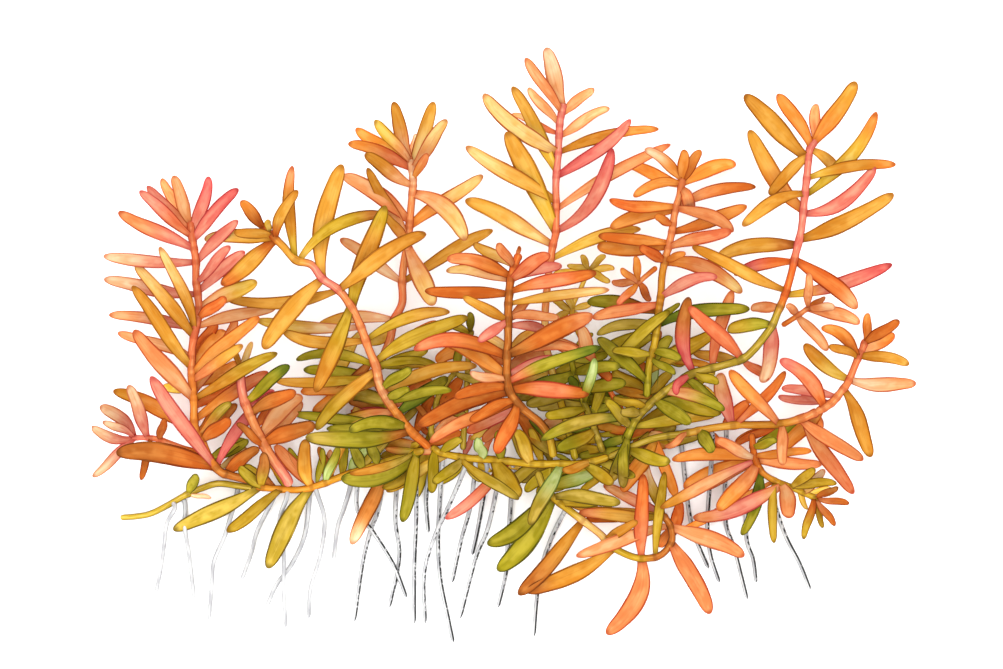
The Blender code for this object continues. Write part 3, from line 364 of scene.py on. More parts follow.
class Wash:
    """A socket of a material's nodes. Arithmetic on it adds Math nodes."""

    def __init__(self, tree, socket=None):
        self.tree = tree
        self.socket = socket

    def node(self, kind, settings=(), inputs=(), output=0):
        """A new node of this material, given as one of its outputs."""
        made = self.tree.nodes.new(kind)
        for name, value in dict(settings).items():
            setattr(made, name, value)
        for name, value in dict(inputs).items():
            self.feed(made.inputs[name], value)
        return Wash(self.tree, made.outputs[output])

    def feed(self, target, value):
        if isinstance(value, Wash):
            self.tree.links.new(value.socket, target)
        else:
            target.default_value = value

    def maths(self, operation, *values):
        return self.node("ShaderNodeMath", {"operation": operation}, enumerate(values))

    def __add__(self, other):
        return self.maths("ADD", self, other)

    def __sub__(self, other):
        return self.maths("SUBTRACT", self, other)

    def __rsub__(self, other):
        return self.maths("SUBTRACT", other, self)

    def __mul__(self, other):
        return self.maths("MULTIPLY", self, other)

    def __abs__(self):
        return self.maths("ABSOLUTE", self)

    __radd__ = __add__
    __rmul__ = __mul__

    def rise(self, low, high):
        """0 below low, 1 above high and smooth between."""
        inputs = {"Value": self, "From Min": low, "From Max": high}
        return self.node("ShaderNodeMapRange", {"interpolation_type": "SMOOTHSTEP"}, inputs)

    def mix(self, first, second):
        """The first colour where this is 0, and the second where it is 1."""
        inputs = {0: self, 6: first, 7: second}
        return self.node("ShaderNodeMix", {"data_type": "RGBA"}, inputs, 2)

    def read(self, attribute, output="Fac"):
        return self.node("ShaderNodeAttribute", {"attribute_name": attribute}, (), output)

    def mottle(self, place, stretch, detail=2.0):
        """Noise that is stretched along and across a strand."""
        inputs = {0: place, 1: stretch}
        spot = self.node("ShaderNodeVectorMath", {"operation": "MULTIPLY"}, inputs)
        return self.node("ShaderNodeTexNoise", (), {"Vector": spot, "Scale": 1.0, "Detail": detail})


def new_paint(name, roughness, specular):
    material = bpy.data.materials.new(name)
    material.use_nodes = True
    shader = material.node_tree.nodes["Principled BSDF"]
    shader.inputs["Roughness"].default_value = roughness
    shader.inputs["Specular IOR Level"].default_value = specular
    return material, shader, Wash(material.node_tree)


def leaf_paint():
    """A soft waxy leaf: watery body, pale middle, thin darker rim, dark foot and tip, faint veins."""
    material, shader, wash = new_paint("leaf", 0.6, 0.04)
    across, share = abs(wash.read("across")), wash.read("share")
    seat = wash.read("seat", "Vector")
    body, rim, heart = (wash.read(name, "Color") for name in ("body", "rim", "heart"))
    pools = wash.mottle(seat, (0.3, 0.8, 3.7))
    veins = wash.mottle(seat, (0.12, 5.0, 9.1))
    sides = wash.mottle(seat, (0.07, 1.0, 5.3))
    colour = ((1 - across.rise(0.2, 0.8)) * pools.rise(0.35, 0.62) * 0.7).mix(body, heart)
    colour = (sides.rise(0.5, 0.36) * 0.5).mix(colour, heart)
    colour = (sides.rise(0.5, 0.66) * 0.16).mix(colour, rim)
    colour = (veins.rise(0.5, 0.72) * 0.24).mix(colour, rim)
    colour = (pools.rise(0.62, 0.42) * 0.1).mix(colour, rim)
    edge = (across + (pools - 0.5) * 0.12).rise(0.74, 0.85)
    colour = (edge * veins.rise(0.2, 0.5) * 0.95).mix(colour, rim)
    colour = ((share + (pools - 0.5) * 0.1).rise(0.92, 0.99) * 0.8).mix(colour, rim)
    colour = ((1 - share.rise(0.03, 0.16)) * 0.6).mix(colour, rim)
    wash.feed(shader.inputs["Base Color"], colour)
    ridges = wash.node("ShaderNodeBump", (), {"Height": veins, "Strength": 0.25, "Distance": 0.0002})
    wash.feed(shader.inputs["Normal"], ridges)
    return material


def stem_paint():
    """A juicy stem with a painted highlight along its top, painted shade as a dark line at its sides, and
    darker at every joint.
    """
    material, shader, wash = new_paint("stem", 0.55, 0.05)
    across, band = abs(wash.read("across")), wash.read("band")
    seat = wash.read("seat", "Vector")
    body, rim, heart = (wash.read(name, "Color") for name in ("body", "rim", "heart"))
    streaks = wash.mottle(seat, (0.35, 2.4, 6.3))
    # painted highlight: the pale middle tone along the top of the round stem
    colour = ((1 - across.rise(0.1, 0.6)) * streaks.rise(0.4, 0.6)).mix(body, heart)
    # painted shade: a dark line at the sides of the round stem
    colour = ((across + (streaks - 0.5) * 0.2).rise(0.72, 0.86) * 0.95).mix(colour, rim)
    colour = (band.rise(0.45, 0.95) * streaks.rise(0.25, 0.5) * 0.5).mix(colour, rim)
    wash.feed(shader.inputs["Base Color"], colour)
    ridges = wash.node("ShaderNodeBump", (), {"Height": streaks, "Strength": 0.3, "Distance": 0.0003})
    wash.feed(shader.inputs["Normal"], ridges)
    return material


LEAF_PAINT = leaf_paint()
STEM_PAINT = stem_paint()


STEM_LINES = []  # the middle of each stem that is grown so far


def cad_height(name, spot):
    """Height of the CAD node's corner that is nearest to a spot, seen from above."""
    mesh = frame["nodes"][name].data
    corners = np.empty(3 * len(mesh.vertices))
    mesh.vertices.foreach_get("co", corners)
    corners = corners.reshape(-1, 3) / MM + CENTRE
    return corners[np.linalg.norm(corners[:, :2] - np.array(spot), axis=1).argmin(), 2]


def grow(name, stem, heights, width, route, leaves, low_leaves=()):
    """A stem along its route from growing tip to foot, with its leaves. Sizes are in millimetres.

    A leaf is (joint, tip x, tip y, bow, width, paints). The joint counts points of the route from
    0, and the bow is how far the leaf's middle bends to the left of the line to its tip. A seventh
    value lifts the middle of a leaf that crosses over others. The low leaves lie near the sheet."""
    points = route_heights(route, heights)
    STEM_LINES.append(along_route(points, np.arange(0, len(points) - 1, STEM_STEP)))
    seed = 10 * len(bpy.data.objects)
    strands = [(stem_strand(points, width, [leaf[0] for leaf in leaves], stem, seed), 0)]
    for number, (joint, tip_x, tip_y, bow, leaf_wide, paints, *over) in enumerate([*leaves, *low_leaves]):
        foot = along_route(points, np.array([joint]))[0]
        low_tip = LOW_TIP + LOW_SPREAD * wave(number)
        tip_height = cad_height(name, (tip_x, tip_y)) if number < len(leaves) else low_tip
        tip = np.array([tip_x, tip_y, tip_height])
        middle = leaf_middle(foot, tip, bow, number, sum(over))
        rings = leaf_rings(middle, leaf_wide, number)
        strands.append((Strand(rings, LEAF_ACROSS, paints, seed + 1.7 * number), 1))
    return new_piece(name, strands, [STEM_PAINT, LEAF_PAINT])


grow(
    "runner_left",
    stem="av",
    heights=(3.0, 2.6, 3.6),
    width=1.6,
    route=[
        (-48.4, -27.4), (-45.6, -27.8), (-42.4, -28.0), (-40.0, -28.0), (-37.8, -27.6), (-35.0, -26.6),
        (-31.8, -25.4), (-28.8, -24.4), (-25.0, -23.2), (-20.0, -21.4), (-15.8, -20.2),
    ],
    leaves=[
        (0.1, -65.6, -36.2, 0.3, 2.6, "h", 1.5), (1.5, -54.4, -36.2, 0.2, 2.2, "v"),
        (4.0, -46.6, -43.8, -0.8, 3.0, "h"), (4.0, -38.8, -17.8, 0.9, 2.2, "ga"),
        (0.2, -47.4, -20.4, -0.3, 2.0, "vb"), (9.8, -19.6, -34.4, 0.2, 2.4, "mn"),
        (9.8, -23.6, -27.6, 1.6, 2.0, "hv"), (9.9, -31.8, -25.6, 2.0, 3.0, "n"),
        (8.4, -29.8, -39.0, 0.5, 2.4, "bbw"), (0.3, -52.2, -23.4, 0.2, 2.0, "m"),
        (8.0, -25.6, -17.6, 0.0, 2.0, "n"), (7.4, -29.6, -18.8, 0.0, 1.8, "n"),
        (5.0, -32.4, -19.2, 0.0, 1.5, "qn"), (9.7, -30.0, -24.6, 0.8, 1.5, "ha"),
        (9.9, -23.6, -22.4, 0.2, 1.6, "h"), (9.9, -23.0, -19.6, 0.2, 1.4, "hb"),
        (6.6, -26.4, -19.2, 0.3, 2.4, "q"),
    ],
    low_leaves=[
        (5.2, -26.0, -4.0, -0.2, 1.4, "g"), (7.0, -16.4, -11.6, 0.2, 1.8, "h"),
        (5.4, -36.4, -19.4, -0.2, 1.8, "b"), (5.0, -34.0, -20.0, 0.2, 1.6, "sp"),
        (4.4, -35.6, -19.6, -0.2, 1.4, "n"), (6.0, -30.8, -19.4, 0.2, 2.4, "mn"),
        (7.0, -25.8, -20.6, -0.2, 1.2, "y"), (1.2, -51.4, -23.2, 0.2, 2.4, "bm"),
        (2.2, -46.4, -22.4, -0.2, 2.2, "na"), (4.2, -45.0, -19.0, 0.2, 2.4, "s"),
        (4.0, -42.4, -19.6, -0.2, 1.4, "n"),
    ],
)
grow(
    "runner_left_end",
    stem="hh",
    heights=(0.9, 1.4, 2.8),
    width=1.4,
    route=[
        (-75.6, -33.6), (-73.0, -33.4), (-70.0, -32.8), (-66.4, -31.0), (-63.2, -29.2), (-60.0, -27.8),
        (-56.6, -26.8), (-52.8, -27.2), (-50.4, -27.6),
    ],
    leaves=[
        (4.2, -60.6, -24.8, 0.0, 1.8, "n"), (4.2, -57.8, -29.6, 0.0, 1.2, "w"),
    ],
)
grow(
    "runner_middle",
    stem="vv",
    heights=(4.2, 4.6, 5.2),
    width=1.7,
    route=[
        (-13.2, -19.8), (-11.8, -20.6), (-7.2, -21.6), (-1.2, -22.0), (6.4, -22.8), (11.2, -22.8),
        (16.6, -22.8), (21.2, -21.6),
    ],
    leaves=[
        (3.0, 4.0, -29.4, -0.4, 3.4, "v"), (3.4, -11.0, -33.8, 0.8, 2.0, "ck"),
        (1.8, 3.8, -29.8, -0.4, 1.8, "vh"), (2.0, -13.4, -26.6, 0.2, 1.8, "hm"),
        (5.2, 6.0, -35.0, -0.2, 2.3, "qh"), (0.2, -13.8, -28.6, 0.0, 2.0, "m"),
        (4.4, 0.4, -28.0, -0.4, 2.0, "h"), (6.0, 22.6, -26.8, 0.2, 2.0, "mv"),
        (6.4, 27.0, -25.4, 0.5, 1.8, "m", -4.0), (1.0, -7.6, -17.6, 0.2, 1.8, "m"),
        (2.6, -4.0, -17.6, 0.0, 2.0, "q"), (3.2, -0.4, -16.0, 0.0, 1.8, "n"),
        (4.0, 3.0, -16.0, -0.2, 2.2, "yv"), (4.4, 6.0, -15.6, -0.2, 2.0, "v"),
        (6.4, 12.4, -24.0, 0.2, 1.6, "ga"),
    ],
    low_leaves=[
        (4.8, 8.0, -17.6, -0.2, 2.0, "h"), (5.8, 11.2, -21.0, 0.2, 1.5, "n"),
        (3.8, 2.0, -16.4, -0.2, 1.5, "h"), (2.6, -1.4, -17.6, 0.2, 1.8, "c"),
        (3.0, 4.4, -24.0, -0.2, 1.5, "y"), (5.0, 4.0, -26.4, 0.2, 1.8, "h"),
        (5.2, 5.0, -28.4, -0.2, 2.0, "m"), (4.8, 7.6, -29.2, 0.2, 2.2, "m"),
        (5.0, 9.0, -26.4, -0.2, 1.4, "v"), (5.6, 11.6, -26.0, 0.2, 1.4, "m"),
        (2.0, -6.0, -17.0, -0.2, 1.6, "k"), (0.6, -24.0, -18.0, 0.2, 2.4, "pa"),
        (1.4, -22.8, -28.4, -0.2, 2.0, "y"), (2.2, -12.4, -26.8, 0.2, 1.6, "m"),
        (1.8, -3.6, -26.4, -0.2, 1.3, "h"), (1.8, -1.6, -24.4, 0.2, 1.4, "v"),
    ],
)
grow(
    "runner_right",
    stem="hhgas",
    heights=(5.4, 7.4, 8.6),
    width=1.7,
    route=[
        (22.4, -21.2), (26.8, -19.2), (31.2, -17.6), (37.6, -16.6), (42.6, -15.6), (47.8, -15.0),
        (50.4, -15.0), (55.8, -14.8), (60.0, -13.8), (63.0, -12.6),
    ],
    leaves=[
        (4.8, 57.0, -4.2, -0.6, 1.8, "cdf"), (7.0, 45.6, -4.0, 0.2, 2.4, "so"),
        (4.7, 44.2, -4.6, 0.4, 2.6, "kp"), (7.1, 56.4, -23.0, 0.0, 1.8, "sp"),
        (6.9, 47.2, -18.6, 0.0, 1.6, "o"), (8.0, 72.6, -22.0, -0.3, 2.4, "s"),
        (8.2, 70.8, -28.8, -0.5, 2.5, "sc"), (9.0, 64.6, -16.0, 0.0, 1.4, "f"),
        (0.6, 34.0, -22.2, -0.3, 2.2, "m"), (2.4, 28.6, -16.4, 0.2, 1.4, "pl"),
        (3.0, 33.0, -19.4, 0.2, 2.0, "s"), (3.4, 42.4, -20.4, 0.2, 2.2, "n"),
    ],
    low_leaves=[
        (1.2, 35.2, -14.8, -0.2, 2.2, "h"), (1.0, 29.0, -15.0, 0.2, 1.5, "b"),
        (0.2, 34.0, -18.4, -0.2, 1.8, "yv"), (0.6, 40.4, -17.2, 0.2, 2.4, "sh"),
        (3.6, 45.6, -19.6, -0.2, 2.0, "d"), (0.8, 15.6, -21.4, 0.2, 1.8, "n"),
        (0.0, 10.6, -28.4, -0.2, 1.6, "m"), (0.8, 16.0, -28.4, 0.2, 1.6, "v"),
        (1.2, 25.6, -23.6, -0.2, 1.6, "n"), (2.0, 24.4, -28.4, 0.2, 2.6, "ao"),
        (2.0, 35.4, -29.6, -0.2, 2.0, "o"), (8.0, 51.6, -18.8, 0.2, 2.0, "n"),
        (7.4, 52.4, -16.4, -0.2, 1.8, "o"), (7.0, 47.0, -19.2, -0.2, 1.4, "d"),
        (4.4, 50.0, -10.4, 0.2, 2.2, "d"),
    ],
)

# The coral shoots at the left.
# Submerged shoots in full colour: pink and coral crowns over orange and gold straps, in pairs and
# rings round a coral stem that grew up from the runner.
grow(
    "shoot_far_left",
    stem="ccob",
    heights=(6.5, 9.0, 4.2),
    width=1.7,
    route=[
        (-62.0, 25.2), (-61.6, 22.6), (-61.2, 20.2), (-60.8, 17.6), (-60.8, 14.4), (-60.4, 10.8),
        (-60.2, 7.6), (-61.2, 2.6), (-61.6, -0.6), (-61.6, -5.0), (-61.2, -10.8), (-61.2, -13.6),
        (-60.8, -16.2), (-59.4, -18.8), (-58.2, -21.6), (-56.2, -24.2), (-54.4, -25.0), (-50.6, -26.0),
    ],
    leaves=[
        (1.0, -72.0, 31.8, 0.0, 2.0, "ck"), (0.6, -70.6, 32.8, 0.0, 1.8, "ck"),
        (0.2, -68.0, 34.4, 0.0, 1.8, "ps"), (0.0, -65.2, 34.8, 0.0, 2.0, "p"),
        (0.8, -58.4, 34.8, -0.4, 2.0, "kr"), (1.3, -52.2, 32.2, 0.5, 2.2, "kr"),
        (2.0, -76.2, 27.6, 0.2, 2.4, "ks"), (3.0, -79.4, 18.8, 0.5, 2.0, "kw"),
        (4.9, -79.2, 14.2, 0.4, 2.2, "kw", -2.0), (6.7, -78.2, 7.0, -0.7, 2.0, "kp"),
        (6.8, -68.0, 20.6, -1.0, 2.0, "al"), (7.0, -73.0, 17.0, -0.4, 2.2, "al", 6.0),
        (8.7, -73.4, 12.8, 0.0, 2.2, "ga"), (3.1, -52.2, 25.8, 0.4, 2.0, "k", -2.5),
        (4.3, -53.8, 20.8, 0.0, 1.8, "k"), (4.8, -51.2, 19.8, 0.2, 2.0, "k"),
        (6.3, -54.6, 10.6, 0.0, 1.8, "d"), (6.6, -44.8, 8.4, 0.5, 2.0, "p"),
        (8.2, -76.6, 3.4, -0.4, 2.0, "p"), (9.8, -73.0, 4.0, 0.2, 2.8, "ps"),
        (9.4, -67.8, -7.6, 0.2, 1.6, "y"), (12.0, -77.4, -8.2, -0.8, 2.4, "coa"),
        (14.6, -69.6, -5.2, 0.4, 2.6, "k"), (14.7, -67.0, -11.0, 0.0, 2.0, "sc"),
        (9.0, -48.0, 6.6, 0.4, 2.2, "o"), (9.6, -52.8, 6.6, -0.6, 2.0, "s"),
        (9.2, -51.2, 1.0, 0.0, 2.0, "sg"), (9.8, -44.4, -0.6, 0.4, 2.2, "av"),
        (11.2, -46.4, -4.4, 0.4, 2.2, "oc"), (12.8, -53.8, -13.6, 0.0, 2.2, "f"),
        (14.7, -45.4, -8.4, 1.2, 2.0, "r"), (14.0, -51.0, -18.0, 0.0, 1.8, "n"),
        (15.7, -48.2, -19.6, 0.4, 2.2, "fb"), (14.6, -76.6, -20.6, -1.2, 3.2, "fb"),
        (5.8, -48.4, 13.6, 0.2, 2.6, "py"), (12.4, -53.6, -10.4, 0.3, 1.8, "oh"),
    ],
    low_leaves=[
        (8.6, -55.2, 4.0, -0.2, 2.8, "o"), (8.4, -56.8, 5.6, 0.2, 2.0, "d"),
        (9.4, -52.8, -2.4, -0.2, 2.0, "o"), (10.2, -52.4, -6.0, 0.2, 1.8, "d"),
        (12.0, -56.8, -12.2, -0.2, 1.6, "o"), (12.6, -52.8, -10.8, 0.2, 1.8, "b"),
        (14.4, -50.4, -18.0, 0.2, 1.6, "n"), (14.8, -50.8, -19.6, -0.2, 1.6, "l"),
    ],
)
grow(
    "shoot_low_left",
    stem="kcf",
    heights=(4.0, 5.0, 5.6),
    width=1.2,
    route=[
        (-73.6, -17.6), (-70.6, -17.6), (-68.0, -18.0), (-63.6, -19.6), (-60.6, -20.4),
    ],
    leaves=[
        (0.1, -81.6, -15.2, 1.2, 1.8, "kw"), (0.1, -80.0, -11.4, -1.2, 2.2, "kw"),
        (0.1, -79.2, -14.2, -0.4, 1.4, "kw"), (1.0, -74.2, -7.0, -0.3, 2.0, "kw"),
        (2.0, -67.2, -13.6, 0.0, 1.4, "f"), (1.3, -71.8, -26.0, 0.0, 1.4, "f"),
        (0.2, -81.4, -25.4, 0.0, 1.7, "kw"),
    ],
)
grow(
    "shoot_coral_left",
    stem="ksk",
    heights=(9.5, 8.6, 5.0),
    width=2.2,
    route=[
        (-52.0, -4.4), (-51.4, -9.0), (-50.2, -12.4), (-48.0, -17.4), (-45.6, -21.6), (-43.2, -25.0),
        (-42.5, -26.3),
    ],
    leaves=[
        (2.1, -40.6, -8.4, 0.5, 2.4, "bf"), (1.5, -42.0, -3.0, 0.3, 2.2, "mne"),
        (3.0, -39.6, -9.2, 0.8, 2.8, "p"), (3.3, -36.8, -14.8, 0.3, 2.6, "fb"),
        (3.4, -52.6, -14.6, 0.0, 1.6, "fb"), (0.0, -49.4, 1.6, 0.0, 1.6, "l"),
        (0.0, -53.4, 1.8, 0.0, 1.4, "a"),
    ],
    low_leaves=[
        (1.8, -45.4, -8.0, -0.2, 1.6, "r"), (3.0, -40.0, -16.4, 0.2, 2.0, "f"),
        (3.2, -39.6, -10.4, -0.2, 2.2, "p"), (2.6, -45.0, -11.0, 0.2, 1.6, "d"),
    ],
)

# The amber shoot left of the middle.
# A long bent shoot whose broad straps have turned amber and olive, the lowest of them green. Its
# stem is coral above and rust brown where it comes out of the runner.
grow(
    "shoot_olive",
    stem="dgksspof",
    heights=(9.0, 12.5, 5.4),
    width=1.8,
    route=[
        (-47.0, 24.2), (-45.6, 22.8), (-43.4, 20.8), (-40.8, 18.0), (-37.6, 17.0), (-35.4, 14.2),
        (-32.2, 12.0), (-29.8, 8.8), (-27.8, 4.6), (-26.2, 0.2), (-24.8, -3.2), (-24.0, -7.0),
        (-22.2, -10.4), (-18.6, -15.4), (-14.9, -18.9),
    ],
    leaves=[
        (0.0, -51.6, 29.8, 0.0, 2.0, "fo"), (0.6, -46.2, 26.0, 0.0, 1.2, "y"),
        (3.0, -41.4, 36.8, 0.9, 2.0, "vas"), (1.4, -40.2, 31.8, 1.0, 1.8, "fga"),
        (1.2, -59.2, 22.2, -0.4, 2.2, "gl", 3.0), (1.0, -53.0, 23.4, -0.2, 1.8, "ga", 2.0),
        (1.4, -55.6, 13.0, 0.3, 2.8, "fgf"), (3.2, -23.0, 27.2, 2.6, 2.0, "yvb", 4.0),
        (5.0, -31.4, 37.0, 1.7, 3.0, "g", -2.0), (5.0, -47.2, 0.2, -0.7, 3.2, "g"),
        (6.0, -14.8, 23.4, 0.8, 2.8, "ga", 5.0), (6.0, -55.0, 10.4, 1.8, 2.0, "ga"),
        (7.1, -22.8, 28.8, 0.6, 2.8, "vav", -2.0), (7.0, -36.8, -8.4, 0.2, 2.8, "va"),
        (8.6, -43.4, 3.8, 1.4, 2.2, "g"), (8.6, -10.0, 7.6, 1.6, 2.0, "vg"),
        (9.8, -6.4, 6.6, 1.0, 2.4, "v"), (10.0, -40.8, -2.0, -1.8, 1.8, "mn"),
        (10.0, -12.4, -3.4, 1.2, 1.6, "m"), (11.4, -4.6, -3.2, 1.4, 2.2, "g"),
        (10.2, -36.8, -16.0, -0.8, 2.2, "gv"), (13.2, -38.8, -17.4, 1.0, 2.8, "bnh"),
        (10.6, -45.0, -6.2, 0.6, 1.9, "vg"), (12.6, -30.0, -12.4, -0.6, 1.6, "kr"),
        (13.0, -30.0, -16.2, -1.4, 2.2, "n"), (12.0, -31.0, -9.6, -0.8, 2.2, "h"),
        (13.4, -34.8, -15.8, -0.5, 2.0, "n"), (12.0, -9.6, -8.0, 0.6, 1.8, "n"),
        (8.0, -48.8, 6.0, 0.8, 2.0, "wy"), (11.3, -17.6, -3.6, 0.3, 1.8, "n"),
        (12.5, -10.4, -5.6, 0.4, 2.4, "en"), (12.2, -13.6, -6.0, 0.2, 2.2, "cf"),
        (11.8, -18.0, -7.6, 0.0, 1.6, "n"),
    ],
    low_leaves=[
        (8.8, -22.4, 3.6, -0.2, 1.8, "y"), (10.2, -14.4, 0.0, 0.2, 1.8, "m"),
        (8.2, -33.4, -5.6, -0.2, 2.2, "y"), (10.0, -14.4, -2.8, 0.2, 1.8, "my"),
        (10.6, -39.4, -4.0, -0.2, 2.0, "n"), (10.8, -40.0, -8.4, 0.2, 2.4, "go"),
        (10.2, -37.6, -12.4, -0.2, 2.2, "o"), (9.6, -36.8, -14.8, 0.2, 2.2, "b"),
        (11.6, -25.2, -5.6, -0.2, 1.8, "s"), (12.2, -30.4, -10.2, 0.2, 2.0, "mb"),
        (12.4, -33.6, -14.8, -0.2, 2.4, "sv"), (13.4, -13.2, -9.2, 0.2, 2.0, "f"),
        (14.0, -7.6, -16.4, -0.2, 1.8, "f"), (13.8, -24.0, -21.6, 0.2, 1.5, "v"),
        (13.2, -41.6, -12.8, -0.2, 2.0, "n"),
    ],
)

# The orange shoots of the middle.
# The tallest shoots, with pale yellow to orange straps on pink stems. The front one stands over the
# others and has coral and red orange leaves; a small yellow one stands behind it.
grow(
    "shoot_middle_back",
    stem="wsscs",
    heights=(7.0, 4.6, 6.0),
    width=1.7,
    route=[
        (-17.8, 37.6), (-17.4, 33.8), (-17.8, 28.8), (-18.2, 24.6), (-18.4, 21.6), (-19.2, 17.6),
        (-19.6, 13.6), (-19.6, 9.4), (-21.2, 6.0), (-22.0, 2.2), (-23.4, -1.4),
    ],
    leaves=[
        (0.0, -21.2, 49.6, 0.3, 2.2, "pa"), (0.0, -25.0, 45.8, 0.0, 2.0, "py"),
        (0.2, -29.0, 44.4, 0.0, 2.2, "go"), (0.4, -30.4, 41.2, -0.9, 2.0, "co"),
        (0.0, -16.8, 43.4, 0.0, 1.4, "pw"), (0.1, -13.2, 49.6, -0.4, 2.4, "lg"),
        (0.4, -10.6, 46.0, 0.0, 2.2, "pl"), (0.9, -14.4, 39.2, 0.0, 1.4, "os"),
        (1.2, -27.0, 39.2, 0.2, 2.2, "pa"), (2.7, -31.4, 35.0, -0.8, 2.8, "sp", 2.5),
        (4.0, -26.4, 36.4, 0.0, 2.0, "pa", -3.0), (4.0, -23.0, 27.0, 0.0, 1.6, "oa"),
        (3.0, -3.4, 35.0, 0.2, 2.2, "ol"), (1.5, -7.0, 21.8, 2.2, 3.0, "pl"),
        (6.0, -1.4, 24.0, 0.5, 2.2, "ag"), (4.2, -13.4, 8.8, 0.0, 3.0, "pl"),
        (6.0, -32.0, 22.2, -0.2, 2.0, "wp"), (8.0, -36.8, 4.4, -1.4, 2.0, "wg"),
    ],
    low_leaves=[
        (9.4, -12.4, 5.6, -0.2, 1.8, "o"),
    ],
)
grow(
    "shoot_tallest",
    stem="kkcslvm",
    heights=(8.0, 5.0, 3.4),
    width=1.6,
    route=[
        (12.6, 48.8), (12.0, 45.6), (11.8, 42.6), (11.6, 38.6), (11.2, 33.8), (11.2, 29.8), (11.2, 23.8),
        (10.6, 21.0), (10.0, 17.2), (9.4, 12.0), (9.0, 6.0), (9.4, 0.0), (11.2, -7.0), (13.2, -14.0),
        (14.9, -21.0),
    ],
    leaves=[
        (0.0, 9.2, 60.4, 0.0, 2.6, "pw"), (0.4, 5.0, 58.2, 0.0, 2.0, "sp"),
        (1.2, 5.6, 52.6, 0.0, 1.6, "p"), (3.6, 2.4, 52.6, -0.3, 2.2, "yg", -2.5),
        (1.8, 2.4, 47.4, 0.0, 1.2, "cp", 1.5), (2.8, -3.4, 51.2, 1.2, 2.8, "l", 3.5),
        (5.0, -6.8, 40.8, 0.3, 2.6, "gl", 3.0), (6.0, 1.2, 43.6, -0.3, 3.2, "yg", -1.5),
        (7.0, -7.0, 30.0, -0.6, 2.6, "lg"), (0.6, 19.0, 52.2, 0.5, 1.8, "p"),
        (2.0, 22.0, 48.6, 0.4, 1.8, "p"), (2.8, 31.8, 44.2, 1.2, 1.8, "ao", -3.0),
        (3.8, 26.2, 46.2, -1.0, 2.0, "rk", 3.0), (5.3, 34.2, 41.2, 0.7, 2.0, "ps"),
        (6.0, 22.4, 40.4, -2.6, 2.5, "kkr"), (7.8, 28.2, 24.2, 1.2, 2.0, "yg"),
    ],
)
grow(
    "shoot_yellow",
    stem="yd",
    heights=(7.5, 6.6, 5.4),
    width=1.1,
    route=[
        (17.8, 16.2), (16.2, 12.4), (14.4, 8.0), (15.4, 4.0), (17.6, 0.0), (20.2, -4.4), (22.6, -9.2),
        (25.2, -13.2),
    ],
    leaves=[
        (0.0, 16.2, 19.0, 0.0, 1.2, "y"), (0.0, 21.0, 19.0, 0.0, 1.2, "y"),
        (0.0, 23.0, 16.4, 0.0, 1.2, "y"), (0.1, 22.0, 13.6, 0.0, 1.2, "y"),
        (0.1, 10.6, 15.2, 0.0, 1.2, "y"), (0.0, 13.4, 17.0, 0.0, 1.2, "y"),
        (2.0, 13.4, 11.4, 0.0, 1.2, "y"), (2.0, 18.4, 9.4, 0.0, 1.2, "y"),
        (2.0, 10.4, 10.0, 0.0, 1.2, "y"), (2.0, 17.6, 5.4, 0.0, 1.2, "y"), (2.1, 9.8, 6.4, 0.0, 1.2, "y"),
        (4.6, 22.2, -6.0, 0.0, 1.8, "d"), (4.5, 16.0, 4.8, 0.3, 2.2, "sp"), (4.2, 9.6, 2.4, 0.3, 2.2, "s"),
        (5.0, 34.0, 7.8, 0.4, 2.2, "m"),
    ],
    low_leaves=[
        (6.2, 12.6, -10.4, -0.2, 2.0, "n"),
    ],
)
